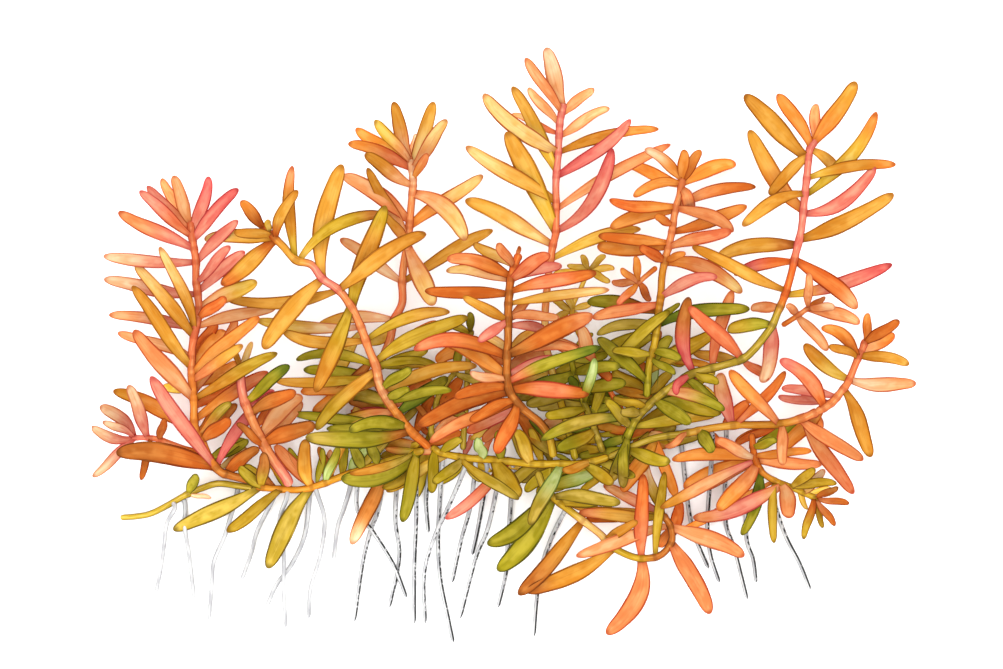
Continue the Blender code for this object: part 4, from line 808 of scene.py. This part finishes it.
grow(
    "shoot_front",
    stem="dbbbv",
    heights=(12.5, 14.0, 6.0),
    width=1.8,
    route=[
        (3.6, 18.6), (3.2, 17.6), (2.2, 14.6), (1.8, 10.8), (1.6, 6.8), (1.6, 2.0), (1.4, -1.8),
        (1.4, -5.8), (2.0, -8.4), (3.8, -11.0), (5.8, -12.8), (8.0, -14.6), (9.8, -17.2), (10.6, -20.8),
    ],
    leaves=[
        (0.0, 3.8, 20.8, 0.0, 1.2, "sf"), (1.4, -0.6, 21.2, 0.0, 1.8, "s"),
        (1.4, -5.4, 21.2, -0.2, 1.8, "lg"), (2.0, -10.6, 18.0, -1.2, 2.2, "fs"),
        (2.2, -10.8, 15.8, -0.8, 1.8, "pl"), (2.9, -15.0, 11.8, 0.0, 2.2, "f"),
        (2.2, 10.0, 19.0, 0.5, 2.4, "c"), (2.2, 12.4, 16.8, 0.7, 1.8, "k"),
        (2.8, 19.2, 15.4, 0.3, 2.2, "fcf"), (3.4, 21.8, 12.0, 0.3, 1.8, "gl"),
        (4.2, 6.4, 10.4, 0.0, 1.6, "sf"), (4.2, -7.4, 10.6, 0.0, 1.7, "ag"),
        (5.9, -17.2, 0.0, -2.6, 2.4, "fc"), (4.2, -4.4, 1.8, 0.0, 1.8, "k"),
        (5.8, 18.6, 6.8, 0.4, 3.2, "bfs", 3.0), (4.4, 9.6, 3.6, 0.6, 1.6, "k", 0.8),
        (4.1, 11.8, 6.4, 0.6, 1.6, "sp", -3.0), (7.8, 17.8, -8.8, 0.5, 2.6, "fcf"),
        (8.0, -16.4, -15.2, -1.4, 3.0, "ff"), (8.6, -6.0, -14.2, -0.5, 2.0, "f"),
        (9.0, -6.6, -16.6, 0.0, 2.0, "kc"), (8.8, -14.0, -18.4, -1.0, 2.0, "fs"),
        (6.8, 11.6, -1.8, 0.6, 2.0, "k", 0.8), (5.6, 16.0, -0.2, 1.2, 1.8, "s", -2.0),
        (7.2, 20.0, 0.6, 0.6, 2.0, "cne"), (6.8, -12.0, 2.0, -0.8, 2.4, "o"),
        (7.6, -9.2, -9.4, -0.8, 2.2, "f"), (7.0, -6.0, -4.4, 0.4, 1.6, "pw"),
        (7.2, -5.6, -7.2, 0.3, 1.5, "pw"), (8.8, -0.8, -20.6, 0.3, 2.4, "fd"),
        (9.2, -3.6, -18.2, 0.2, 2.2, "s"),
    ],
    low_leaves=[
        (7.4, 9.8, -4.4, -0.2, 1.7, "fy"), (6.4, 9.6, 0.0, 0.2, 2.4, "s"),
        (6.2, -4.4, 0.0, -0.2, 1.8, "d"), (7.0, -4.4, -2.4, 0.2, 1.6, "l"),
        (5.6, -3.2, 3.2, -0.2, 1.8, "l"), (5.6, 7.2, 3.8, 0.2, 1.8, "g"), (8.2, 7.2, -9.0, -0.2, 1.7, "h"),
        (13.0, 3.6, -12.8, 0.2, 2.6, "hf"), (12.4, 6.0, -13.6, -0.2, 1.6, "ne"),
        (8.8, -6.0, -18.0, 0.2, 1.6, "cy"),
    ],
)

# The green shoots at the base.
# Older growth in the shade of the clump, with green and olive straps and stems.
grow(
    "shoot_green_back",
    stem="nh",
    heights=(5.2, 3.6, 3.2),
    width=1.4,
    route=[
        (14.0, -0.4), (14.8, -4.4), (16.0, -8.4), (17.6, -12.4), (19.0, -16.0), (20.4, -19.8),
    ],
    leaves=[
        (0.0, 10.4, 3.0, 0.0, 2.0, "ne"), (0.0, 18.6, 3.4, 0.0, 2.0, "m"), (0.3, 6.6, -2.6, 0.3, 2.0, "n"),
        (0.4, 21.6, -0.6, -0.4, 2.0, "n"), (1.0, 5.6, -7.6, 0.4, 2.2, "ne"),
        (1.0, 24.0, -3.4, 0.4, 2.2, "n"), (2.0, 5.2, -11.0, -0.4, 2.4, "h"),
        (2.0, 25.2, -6.6, 0.4, 2.2, "mn"), (3.0, 7.6, -16.4, -0.5, 2.2, "ap"),
        (2.8, 9.0, -13.2, 0.2, 2.0, "m"), (3.0, 26.6, -10.0, 0.5, 2.2, "n"),
        (3.2, 24.4, -15.0, 0.4, 1.8, "mh"), (4.0, 11.4, -20.0, 0.2, 2.2, "vn"),
        (1.6, 22.0, -9.4, 0.2, 2.0, "ne"), (4.2, 24.4, -17.6, 0.3, 1.8, "m"),
        (3.4, 22.0, -4.4, 0.2, 1.8, "m"), (2.6, 18.8, -1.6, 0.0, 1.6, "nq"),
        (2.0, 13.6, -5.6, 0.0, 2.0, "e"), (4.6, 10.4, -16.4, 0.2, 2.0, "v"),
        (4.2, 12.0, -15.0, 0.0, 1.6, "e"), (5.0, 9.6, -19.2, 0.2, 2.2, "vm"),
    ],
    low_leaves=[
        (2.6, 7.4, -11.6, -0.2, 2.2, "h"),
    ],
)
grow(
    "shoot_khaki_left",
    stem="hh",
    heights=(4.2, 3.6, 3.2),
    width=1.3,
    route=[
        (-8.8, -4.4), (-10.4, -6.2), (-12.4, -9.4), (-13.0, -12.2), (-13.8, -15.6), (-13.5, -18.0),
    ],
    leaves=[
        (0.0, -8.0, 1.8, 0.0, 1.6, "n"), (0.2, -2.4, -7.6, 0.4, 1.6, "h"),
        (2.6, -6.4, -14.0, 0.4, 1.6, "h"), (3.6, -17.6, -10.4, 0.0, 1.6, "b"),
        (4.6, -17.0, -14.8, 0.0, 1.6, "d"),
    ],
    low_leaves=[
        (3.0, -7.6, -5.6, -0.2, 2.4, "f"), (4.4, -8.4, -13.2, 0.2, 1.8, "ps"),
        (4.4, -17.2, -30.0, -0.2, 2.6, "vm"),
    ],
)
grow(
    "shoot_khaki_right",
    stem="hh",
    heights=(3.6, 3.0, 3.2),
    width=1.3,
    route=[
        (-5.8, 3.6), (-6.2, 0.8), (-6.4, -2.0), (-6.6, -6.4), (-6.8, -11.0), (-7.2, -16.0), (-7.4, -19.4),
    ],
    leaves=[
        (0.0, -6.0, 7.6, 0.0, 1.4, "n"), (0.2, -10.8, 6.0, 0.0, 1.6, "m"),
        (3.4, -11.0, -9.6, 0.0, 1.6, "n"),
    ],
    low_leaves=[
        (0.8, -12.8, -2.4, -0.2, 2.6, "o"),
    ],
)

# The orange shoots at the right.
# Tall orange shoots with amber crowns, and the side shoots that fork off them low down.
grow(
    "shoot_right_middle",
    stem="ssavn",
    heights=(7.0, 6.0, 7.6),
    width=1.6,
    route=[
        (36.4, 34.0), (36.0, 31.2), (35.0, 27.6), (34.4, 23.6), (33.6, 20.2), (33.0, 17.8), (32.4, 14.6),
        (32.2, 10.8), (31.8, 8.4), (31.4, 4.4), (30.8, 0.6), (29.8, -3.2), (29.4, -8.7),
    ],
    leaves=[
        (0.0, 36.8, 40.0, 0.0, 1.8, "o"), (0.1, 40.0, 40.0, 0.0, 1.8, "fo"),
        (0.3, 47.4, 37.4, 0.8, 2.4, "o"), (0.0, 28.8, 40.0, -0.8, 1.8, "ow"),
        (0.4, 25.4, 37.4, 0.0, 2.0, "o"), (0.3, 26.6, 30.6, -1.4, 1.8, "o"),
        (1.7, 21.8, 30.0, 0.8, 2.0, "od"), (1.9, 22.0, 24.4, -0.8, 2.2, "o"),
        (2.6, 30.8, 26.6, 0.0, 1.4, "do"), (3.6, 19.6, 22.8, 0.1, 2.0, "of"),
        (3.8, 19.4, 20.8, 0.3, 2.8, "o", 1.0), (5.0, 27.8, 20.6, 0.0, 1.8, "d"),
        (0.6, 38.8, 27.4, 0.1, 2.0, "s", 5.0), (1.8, 51.2, 32.6, 1.4, 2.0, "sf"),
        (1.8, 46.6, 23.6, 1.2, 2.2, "s"), (3.0, 49.4, 28.8, -0.4, 2.2, "fo"),
        (3.9, 46.2, 23.8, 0.2, 2.0, "sc"), (5.1, 48.4, 11.4, 2.0, 2.6, "osl"),
        (4.8, 37.0, 19.0, 0.0, 1.4, "o"), (7.1, 43.4, 14.6, 1.2, 2.0, "k"),
        (7.7, 18.4, 6.4, -0.2, 2.0, "cs"), (8.2, 17.4, 9.6, -0.6, 2.4, "bn"),
        (11.6, 19.8, 2.6, 0.0, 2.4, "n", 6.0), (9.4, 23.4, -0.2, 0.0, 2.0, "m"),
        (8.6, 36.0, 9.4, 0.0, 1.6, "n"), (8.8, 19.4, 3.0, -1.0, 1.8, "h"),
        (10.2, 36.0, -2.0, 0.4, 1.8, "n"), (10.6, 35.0, -4.8, 0.0, 1.4, "n"),
        (10.4, 24.0, -3.4, 0.0, 1.8, "m"), (8.9, 50.0, 8.2, 1.4, 2.2, "en"),
        (10.4, 22.4, 0.0, 0.0, 1.8, "m"),
    ],
    low_leaves=[
        (9.0, 10.4, -4.8, -0.2, 2.0, "m"), (12.0, 22.4, -4.4, 0.2, 2.6, "v"),
        (11.6, 28.0, -2.4, -0.2, 1.6, "f"), (10.2, 36.8, -3.2, 0.2, 2.0, "m"),
        (12.0, 34.4, -4.4, -0.2, 2.0, "v"), (11.0, 34.4, 2.8, 0.2, 2.0, "n"),
        (10.2, 32.0, 4.0, -0.2, 1.5, "f"), (11.2, 43.2, 3.6, 0.2, 2.6, "v"),
        (10.4, 42.4, -3.2, -0.2, 1.5, "a"),
    ],
)
grow(
    "shoot_side_orange",
    stem="sf",
    heights=(8.0, 7.4, 6.8),
    width=1.1,
    route=[
        (27.6, 13.4), (29.2, 14.8), (30.9, 16.2),
    ],
    leaves=[
        (0.1, 27.0, 18.8, 0.0, 1.3, "o"), (0.0, 24.0, 16.2, 0.0, 1.3, "so"),
        (0.0, 22.4, 13.6, 0.0, 1.3, "s"), (0.0, 23.4, 9.0, 0.0, 1.3, "oc"),
        (0.1, 30.2, 9.8, 0.0, 1.3, "d"),
    ],
)
grow(
    "shoot_right",
    stem="kkkdhhhhn",
    heights=(8.5, 11.5, 5.0),
    width=1.7,
    route=[
        (62.8, 41.6), (61.8, 39.6), (61.4, 35.2), (60.8, 30.2), (60.2, 24.2), (59.0, 19.0), (58.0, 14.6),
        (56.6, 10.2), (55.4, 7.4), (54.4, 5.0), (52.6, 2.4), (50.6, 0.0), (48.4, -1.8), (44.0, -3.2),
        (38.8, -4.6), (35.4, -6.6), (32.8, -8.4), (29.8, -11.0), (27.2, -13.8), (25.2, -18.0),
    ],
    leaves=[
        (1.4, 48.8, 51.0, 0.0, 3.0, "aga"), (0.6, 55.2, 51.0, -0.5, 2.5, "o"),
        (0.0, 63.4, 49.4, 0.0, 1.8, "s"), (0.2, 71.0, 53.6, -0.3, 2.6, "og"),
        (3.4, 49.8, 44.0, 1.2, 2.8, "og"), (1.2, 53.6, 31.0, -0.4, 2.2, "ga"),
        (2.8, 48.2, 24.6, -1.4, 2.2, "ag"), (0.8, 68.2, 35.2, 0.5, 1.8, "ga", 3.0),
        (2.9, 75.2, 47.6, -1.8, 2.2, "vyo", -1.5), (2.2, 79.2, 37.0, 1.1, 2.0, "yao", 2.5),
        (3.5, 75.0, 36.6, -2.3, 2.4, "k"), (4.4, 78.6, 31.2, -0.8, 2.6, "ag"),
        (4.6, 43.2, 18.2, -1.3, 2.4, "bgg"), (5.3, 46.6, 15.0, -0.9, 2.0, "dr"),
        (5.2, 71.2, 8.2, 0.8, 2.8, "ddp"), (6.8, 78.4, 17.2, -1.0, 2.2, "ykr"),
        (6.6, 38.2, 20.6, 0.2, 2.0, "aga"), (7.5, 50.2, 8.4, 0.0, 1.8, "sp"),
        (9.0, 52.6, -6.6, 0.6, 2.7, "kw"), (12.0, 37.6, 8.6, -0.2, 2.4, "c"),
        (13.3, 46.6, 12.0, 0.6, 2.0, "cs"), (14.0, 37.8, 10.6, 1.8, 2.4, "rb"),
        (9.0, 45.4, 4.2, -0.4, 2.4, "nv"), (12.2, 38.6, -0.4, 0.0, 1.8, "g"),
        (16.0, 44.8, -12.0, 1.0, 1.9, "pn"), (14.5, 43.6, -10.4, 0.0, 1.6, "n"),
        (16.6, 38.0, -14.8, 0.0, 2.4, "n"), (14.0, 43.6, -6.6, 0.0, 1.6, "m"),
        (18.0, 8.2, -18.0, -1.8, 2.1, "ehn"), (14.2, 35.2, -9.0, -1.0, 1.4, "r"),
        (16.8, 23.4, -6.4, 0.3, 2.0, "yg"), (17.2, 22.6, -9.6, 0.0, 2.2, "v"),
        (17.6, 24.0, -12.4, 0.0, 1.8, "h"), (18.4, 21.0, -10.0, 0.0, 1.8, "hm"),
        (18.8, 22.2, -26.6, 0.3, 2.2, "nh", 8.0), (19.0, 24.4, -27.6, -0.2, 2.0, "nh", 9.0),
    ],
    low_leaves=[
        (16.6, 22.6, -7.6, -0.2, 1.6, "a"), (17.0, 31.0, -2.8, 0.2, 2.0, "q"),
        (16.4, 43.2, -4.4, -0.2, 1.6, "m"), (13.6, 38.0, -8.4, 0.2, 1.4, "k"),
        (14.4, 43.2, -9.6, -0.2, 1.6, "y"), (16.6, 38.0, -6.6, 0.2, 1.8, "n"),
        (16.4, 44.4, -12.6, -0.2, 2.2, "nm"), (18.4, 43.6, -12.8, 0.2, 2.2, "my"),
        (19.0, 33.6, -11.6, -0.2, 2.4, "v"), (19.0, 33.6, -13.6, 0.2, 1.8, "f"),
        (18.6, 19.4, -15.6, -0.2, 2.0, "fa"), (18.8, 20.0, -19.2, 0.2, 2.4, "ne"),
        (12.0, 53.8, -6.0, 0.2, 1.7, "c"),
    ],
)
grow(
    "shoot_side_coral",
    stem="sf",
    heights=(9.5, 9.2, 8.8),
    width=1.1,
    route=[
        (61.6, 8.4), (59.4, 6.8), (56.9, 5.2),
    ],
    leaves=[
        (0.0, 65.0, 10.6, 0.0, 1.6, "fs"), (0.0, 66.8, 8.6, 0.0, 1.6, "sw"),
        (0.1, 72.2, 5.4, 0.5, 2.2, "sp"), (0.0, 61.2, 15.4, 0.0, 1.4, "sp"),
        (0.8, 57.4, 9.0, 0.0, 1.4, "sp"), (1.0, 65.2, -0.2, 0.3, 2.0, "p"),
    ],
)
grow(
    "shoot_right_low",
    stem="cs",
    heights=(7.0, 9.4, 8.8),
    width=1.6,
    route=[
        (73.0, 1.6), (72.4, 0.0), (71.6, -1.6), (70.6, -4.0), (69.6, -6.4), (68.0, -8.6), (66.2, -10.6),
        (63.7, -12.2),
    ],
    leaves=[
        (2.0, 64.0, 4.4, -1.6, 2.0, "fo"), (2.0, 65.4, 0.6, -0.5, 1.6, "a"),
        (0.3, 73.6, 7.4, -0.3, 1.8, "fo"), (0.2, 79.6, 6.0, 0.0, 1.8, "f"),
        (1.4, 79.2, 3.2, 0.0, 2.0, "pf"), (1.8, 81.6, -3.0, 0.7, 2.0, "ag"),
        (3.8, 83.0, -6.6, -0.6, 2.4, "wp"), (3.8, 61.0, 1.2, 0.8, 2.2, "ya"),
        (4.6, 74.0, -21.4, 0.4, 2.4, "a"), (5.4, 56.4, -7.6, -0.3, 1.8, "k"),
        (6.0, 55.8, -9.4, 0.0, 1.6, "k"), (6.6, 55.6, -2.0, -1.6, 2.4, "dck"),
    ],
    low_leaves=[
        (6.8, 57.2, -19.6, -0.2, 2.6, "o"),
    ],
)

# The coral shoots at the lower right.
# Shoots that hang down and curl back over the roots, coral and orange with olive straps between.
grow(
    "shoot_bottom_right",
    stem="vf",
    heights=(3.4, 5.4, 7.0),
    width=1.4,
    route=[
        (63.4, -29.8), (60.8, -28.6), (58.0, -27.4), (55.0, -26.2), (52.4, -24.4), (51.0, -21.6),
        (50.6, -19.0), (50.4, -17.2),
    ],
    leaves=[
        (0.1, 67.6, -27.4, 0.0, 1.2, "fb"), (0.0, 69.8, -30.6, 0.0, 1.3, "sf"),
        (0.0, 66.8, -35.2, 0.0, 1.3, "sf"), (0.1, 64.6, -35.6, 0.0, 1.2, "v"),
        (0.2, 60.6, -37.8, 0.0, 1.4, "fv"), (1.0, 65.0, -24.0, 0.0, 1.6, "lw"),
        (2.0, 67.2, -26.6, 0.4, 1.6, "v"), (1.9, 62.8, -23.6, 0.0, 1.6, "v"),
        (2.6, 57.6, -33.6, 0.6, 2.6, "ps"), (3.0, 54.8, -38.6, -0.4, 1.6, "v"),
        (2.4, 38.6, -33.6, 1.2, 2.6, "pks", 2.5), (4.2, 48.2, -37.0, 1.2, 1.9, "en", -2.5),
        (4.6, 43.4, -32.0, 0.4, 2.6, "so"), (4.9, 34.4, -22.0, -1.2, 2.2, "o"),
        (4.7, 37.2, -28.4, 0.2, 2.0, "ps"), (4.8, 32.0, -31.6, -0.3, 2.0, "kpa"),
        (5.0, 42.8, -17.8, 0.0, 1.8, "ws"), (4.8, 64.6, -22.8, -0.2, 2.0, "s"),
        (5.2, 62.2, -20.2, 0.0, 1.6, "o"), (5.8, 55.2, -17.8, 0.0, 1.6, "mn"),
    ],
    low_leaves=[
        (5.0, 36.8, -27.6, -0.2, 2.7, "o"), (1.6, 61.6, -32.0, 0.2, 1.6, "y"),
        (1.0, 66.4, -27.6, -0.2, 1.6, "y"), (3.0, 35.0, -36.8, 0.2, 1.5, "o"),
    ],
)
grow(
    "shoot_curled",
    stem="bbvlvh",
    heights=(8.5, 6.0, 6.2),
    width=1.6,
    route=[
        (32.8, -33.2), (34.2, -35.6), (34.2, -38.6), (31.8, -41.2), (27.4, -41.6), (22.8, -39.6),
        (20.0, -36.8), (16.6, -34.2), (12.0, -30.6), (9.0, -27.8), (7.7, -24.9),
    ],
    leaves=[
        (5.0, 5.2, -48.4, 1.0, 2.8, "gab"), (7.0, 3.6, -49.0, 0.6, 2.8, "ab"),
        (0.8, 15.2, -41.2, -0.3, 2.2, "p", -1.0), (3.8, 28.6, -24.8, 0.2, 2.2, "cd", 2.0),
        (3.8, 21.2, -56.8, 2.6, 3.0, "s"), (2.0, 42.0, -52.8, 0.4, 3.0, "s"),
        (0.9, 48.8, -41.2, 0.7, 2.8, "ps"), (3.2, 33.0, -24.4, 0.3, 1.6, "v", 5.0),
        (0.0, 15.8, -32.6, 0.3, 2.0, "vgs"), (0.0, 20.8, -27.0, 0.0, 2.0, "kp"),
        (0.0, 29.2, -22.4, 0.4, 1.8, "vw"), (5.6, 27.4, -34.0, 0.0, 1.6, "a"),
        (8.0, 21.2, -29.2, 0.0, 2.6, "vm"), (9.0, 19.2, -24.6, 0.0, 2.4, "nq"),
        (8.6, -2.6, -38.8, 1.4, 3.0, "n"), (8.4, -0.6, -44.2, 1.2, 3.2, "n"),
        (8.4, 24.0, -30.4, 0.6, 2.2, "h"),
    ],
    low_leaves=[
        (1.6, 36.0, -30.0, -0.2, 2.0, "d"), (0.0, 14.2, -31.2, 0.2, 1.6, "ga"),
        (0.0, 17.0, -34.0, -0.2, 1.6, "f"), (0.8, 32.0, -39.6, 0.2, 1.8, "f"),
    ],
)

# The thread roots.
# Fine water roots that come down from the joints of the runners and lie on the sheet: clear white
# threads, darker at their sides with painted shade, greyer and darker towards their ends.
ROOT_WIDTH = 1.0
ROOT_TAPER = 0.8
ROOT_SIDES = 10
ROOT_STEP = 0.05
ROOT_AGES = {"left": 0.25, "middle": 0.9, "right": 1.0}  # how dark the streaks of each group are
ROOT_UNDER = {"root_left_2": 0.5, "root_left_3": 0.5}  # heights of roots that run under a leaf
ROOTS = {
    "root_left_1": [(-65.2, -31.8), (-66.8, -34.8), (-67.4, -39.4), (-68.0, -43.8), (-69.0, -48.6)],
    "root_left_2": [(-63.2, -30.8), (-63.2, -36.0), (-62.4, -41.0), (-61.4, -49.8)],
    "root_left_3": [(-52.8, -28.8), (-55.0, -36.6), (-57.4, -42.4), (-57.8, -46.8), (-58.4, -54.2)],
    "root_left_4": [(-45.4, -29.6), (-48.6, -36.0), (-50.0, -41.0), (-51.8, -46.0)],
    "root_left_5": [(-42.8, -29.8), (-44.2, -34.2), (-43.4, -40.4), (-43.4, -48.2), (-43.0, -55.6)],
    "root_left_6": [(-38.2, -29.4), (-39.2, -37.2), (-41.8, -43.0), (-44.8, -47.0), (-46.8, -51.4)],
    "root_left_7": [(-36.6, -29.0), (-35.2, -34.2), (-36.0, -41.0), (-38.0, -47.8), (-38.4, -53.8)],
    "root_left_8": [(-30.0, -27.0), (-31.4, -32.0), (-32.6, -35.6), (-33.4, -42.2)],
    "root_middle_1": [(-28.6, -26.4), (-28.6, -32.0), (-25.4, -36.6), (-21.4, -43.0), (-18.8, -49.6)],
    "root_middle_2": [(-23.4, -25.0), (-24.4, -32.0), (-26.0, -36.4), (-27.6, -43.0), (-29.2, -54.4)],
    "root_middle_3": [(-20.6, -24.0), (-21.0, -34.0), (-20.2, -41.6), (-22.2, -51.6)],
    "root_middle_4": [(-17.0, -23.0), (-16.8, -33.0), (-17.2, -43.8), (-17.2, -54.8)],
    "root_middle_5": [(-7.2, -24.0), (-10.6, -32.0), (-13.2, -37.6), (-15.2, -45.0), (-15.0, -54.8)],
    "root_middle_6": [(-11.6, -23.2), (-12.4, -36.6), (-12.0, -45.6), (-10.4, -53.8), (-9.4, -58.6)],
    "root_middle_7": [(-13.6, -22.6), (-14.8, -29.4), (-14.4, -36.6)],
    "root_middle_8": [(-5.0, -24.2), (-6.0, -31.6), (-7.8, -38.2), (-9.6, -46.6)],
    "root_middle_9": [(-2.6, -24.6), (-3.4, -30.0), (-4.6, -36.6), (-5.6, -41.0)],
    "root_middle_10": [(0.0, -24.8), (-2.4, -35.6), (-4.8, -41.6), (-8.0, -53.8)],
    "root_middle_11": [(2.6, -25.0), (1.6, -38.2), (1.2, -44.6), (-0.4, -51.6)],
    "root_middle_12": [(12.4, -33.4), (10.2, -38.0), (8.2, -44.0), (7.4, -49.6), (6.8, -57.4)],
    "root_right_1": [(36.4, -19.0), (37.8, -31.6), (39.2, -37.6), (41.8, -43.8)],
    "root_right_2": [(42.6, -18.2), (41.6, -34.6), (42.2, -41.0), (44.0, -46.6)],
    "root_right_3": [(45.4, -17.6), (45.2, -33.6), (47.0, -39.8), (49.6, -50.0)],
    "root_right_4": [(49.8, -24.0), (49.4, -37.0), (50.8, -42.0), (51.4, -46.6)],
    "root_right_5": [(54.6, -28.4), (57.0, -36.6), (60.2, -43.0), (62.2, -48.0)],
}

def root_paint():
    """A clear grey-white thread, darker at its sides with painted shade, and broken black streaks that
    thicken to its end.
    """
    material, shader, wash = new_paint("root", 0.5, 0.05)
    across, share = wash.read("across"), wash.read("share")
    seat = wash.read("seat", "Vector")
    old = wash.read("band")
    breaks = wash.mottle(seat, (1.6, 1.1, 4.1), 4.0)
    clouds = wash.mottle(seat, (0.3, 0.7, 2.3))
    colour = clouds.rise(0.36, 0.64).mix((0.46, 0.46, 0.46, 1), (0.3, 0.3, 0.31, 1))
    # painted shade: the sides of the round thread are darkened
    colour = (abs(across).rise(0.4, 0.95) * 0.6).mix(colour, (0.19, 0.19, 0.19, 1))
    streak = abs(across - 0.45).rise(0.55, 0.2) * (breaks + old * share * 0.4 - 0.12).rise(0.49, 0.54)
    colour = (streak * old.rise(0.1, 0.6)).mix(colour, (0.004, 0.004, 0.004, 1))
    wash.feed(shader.inputs["Base Color"], colour)
    return material


def root_rings(route, name):
    """A root that comes out of the nearest stem and runs down to the sheet, as high as the CAD's."""
    height = [ROOT_UNDER.get(name, cad_height(name, spot)) for spot in route]
    points = np.column_stack([np.array(route), height])
    stems = np.concatenate(STEM_LINES)
    joint = stems[np.linalg.norm(stems - points[0], axis=1).argmin()]
    points = np.vstack([joint, points])
    steps = np.linspace(0, 1, len(points))
    ends = 0.5 * ROOT_WIDTH * np.linspace(1, ROOT_TAPER, len(points))
    joints = np.arange(0, len(points) - 1 + ROOT_STEP / 2, ROOT_STEP)
    line = along_route(points, joints)
    share = joints / joints[-1]
    radius = np.interp(share, steps, ends) * np.sqrt(np.clip((1.004 - share) * 40, 0.02, 1))
    line[:, 2] = np.maximum(line[:, 2] - ends[0], radius)
    side, ahead, up = directions(line)
    turn = 2 * math.pi * np.arange(ROOT_SIDES) / ROOT_SIDES
    out = side[:, None, :] * np.cos(turn)[:, None] + up[:, None, :] * np.sin(turn)[:, None]
    return on_the_sheet(line[:, None, :] + out * radius[:, None, None]), np.cos(turn)


ROOT_PAINT = root_paint()
for number, (name, route) in enumerate(ROOTS.items()):
    rings, across = root_rings(route, name)
    age = np.full(len(rings), ROOT_AGES[name.split("_")[1]] * (0.8 + 0.2 * wave(number)))
    new_piece(name, [(Strand(rings, across, "p", 3.3 * number, age), 0)], [ROOT_PAINT])
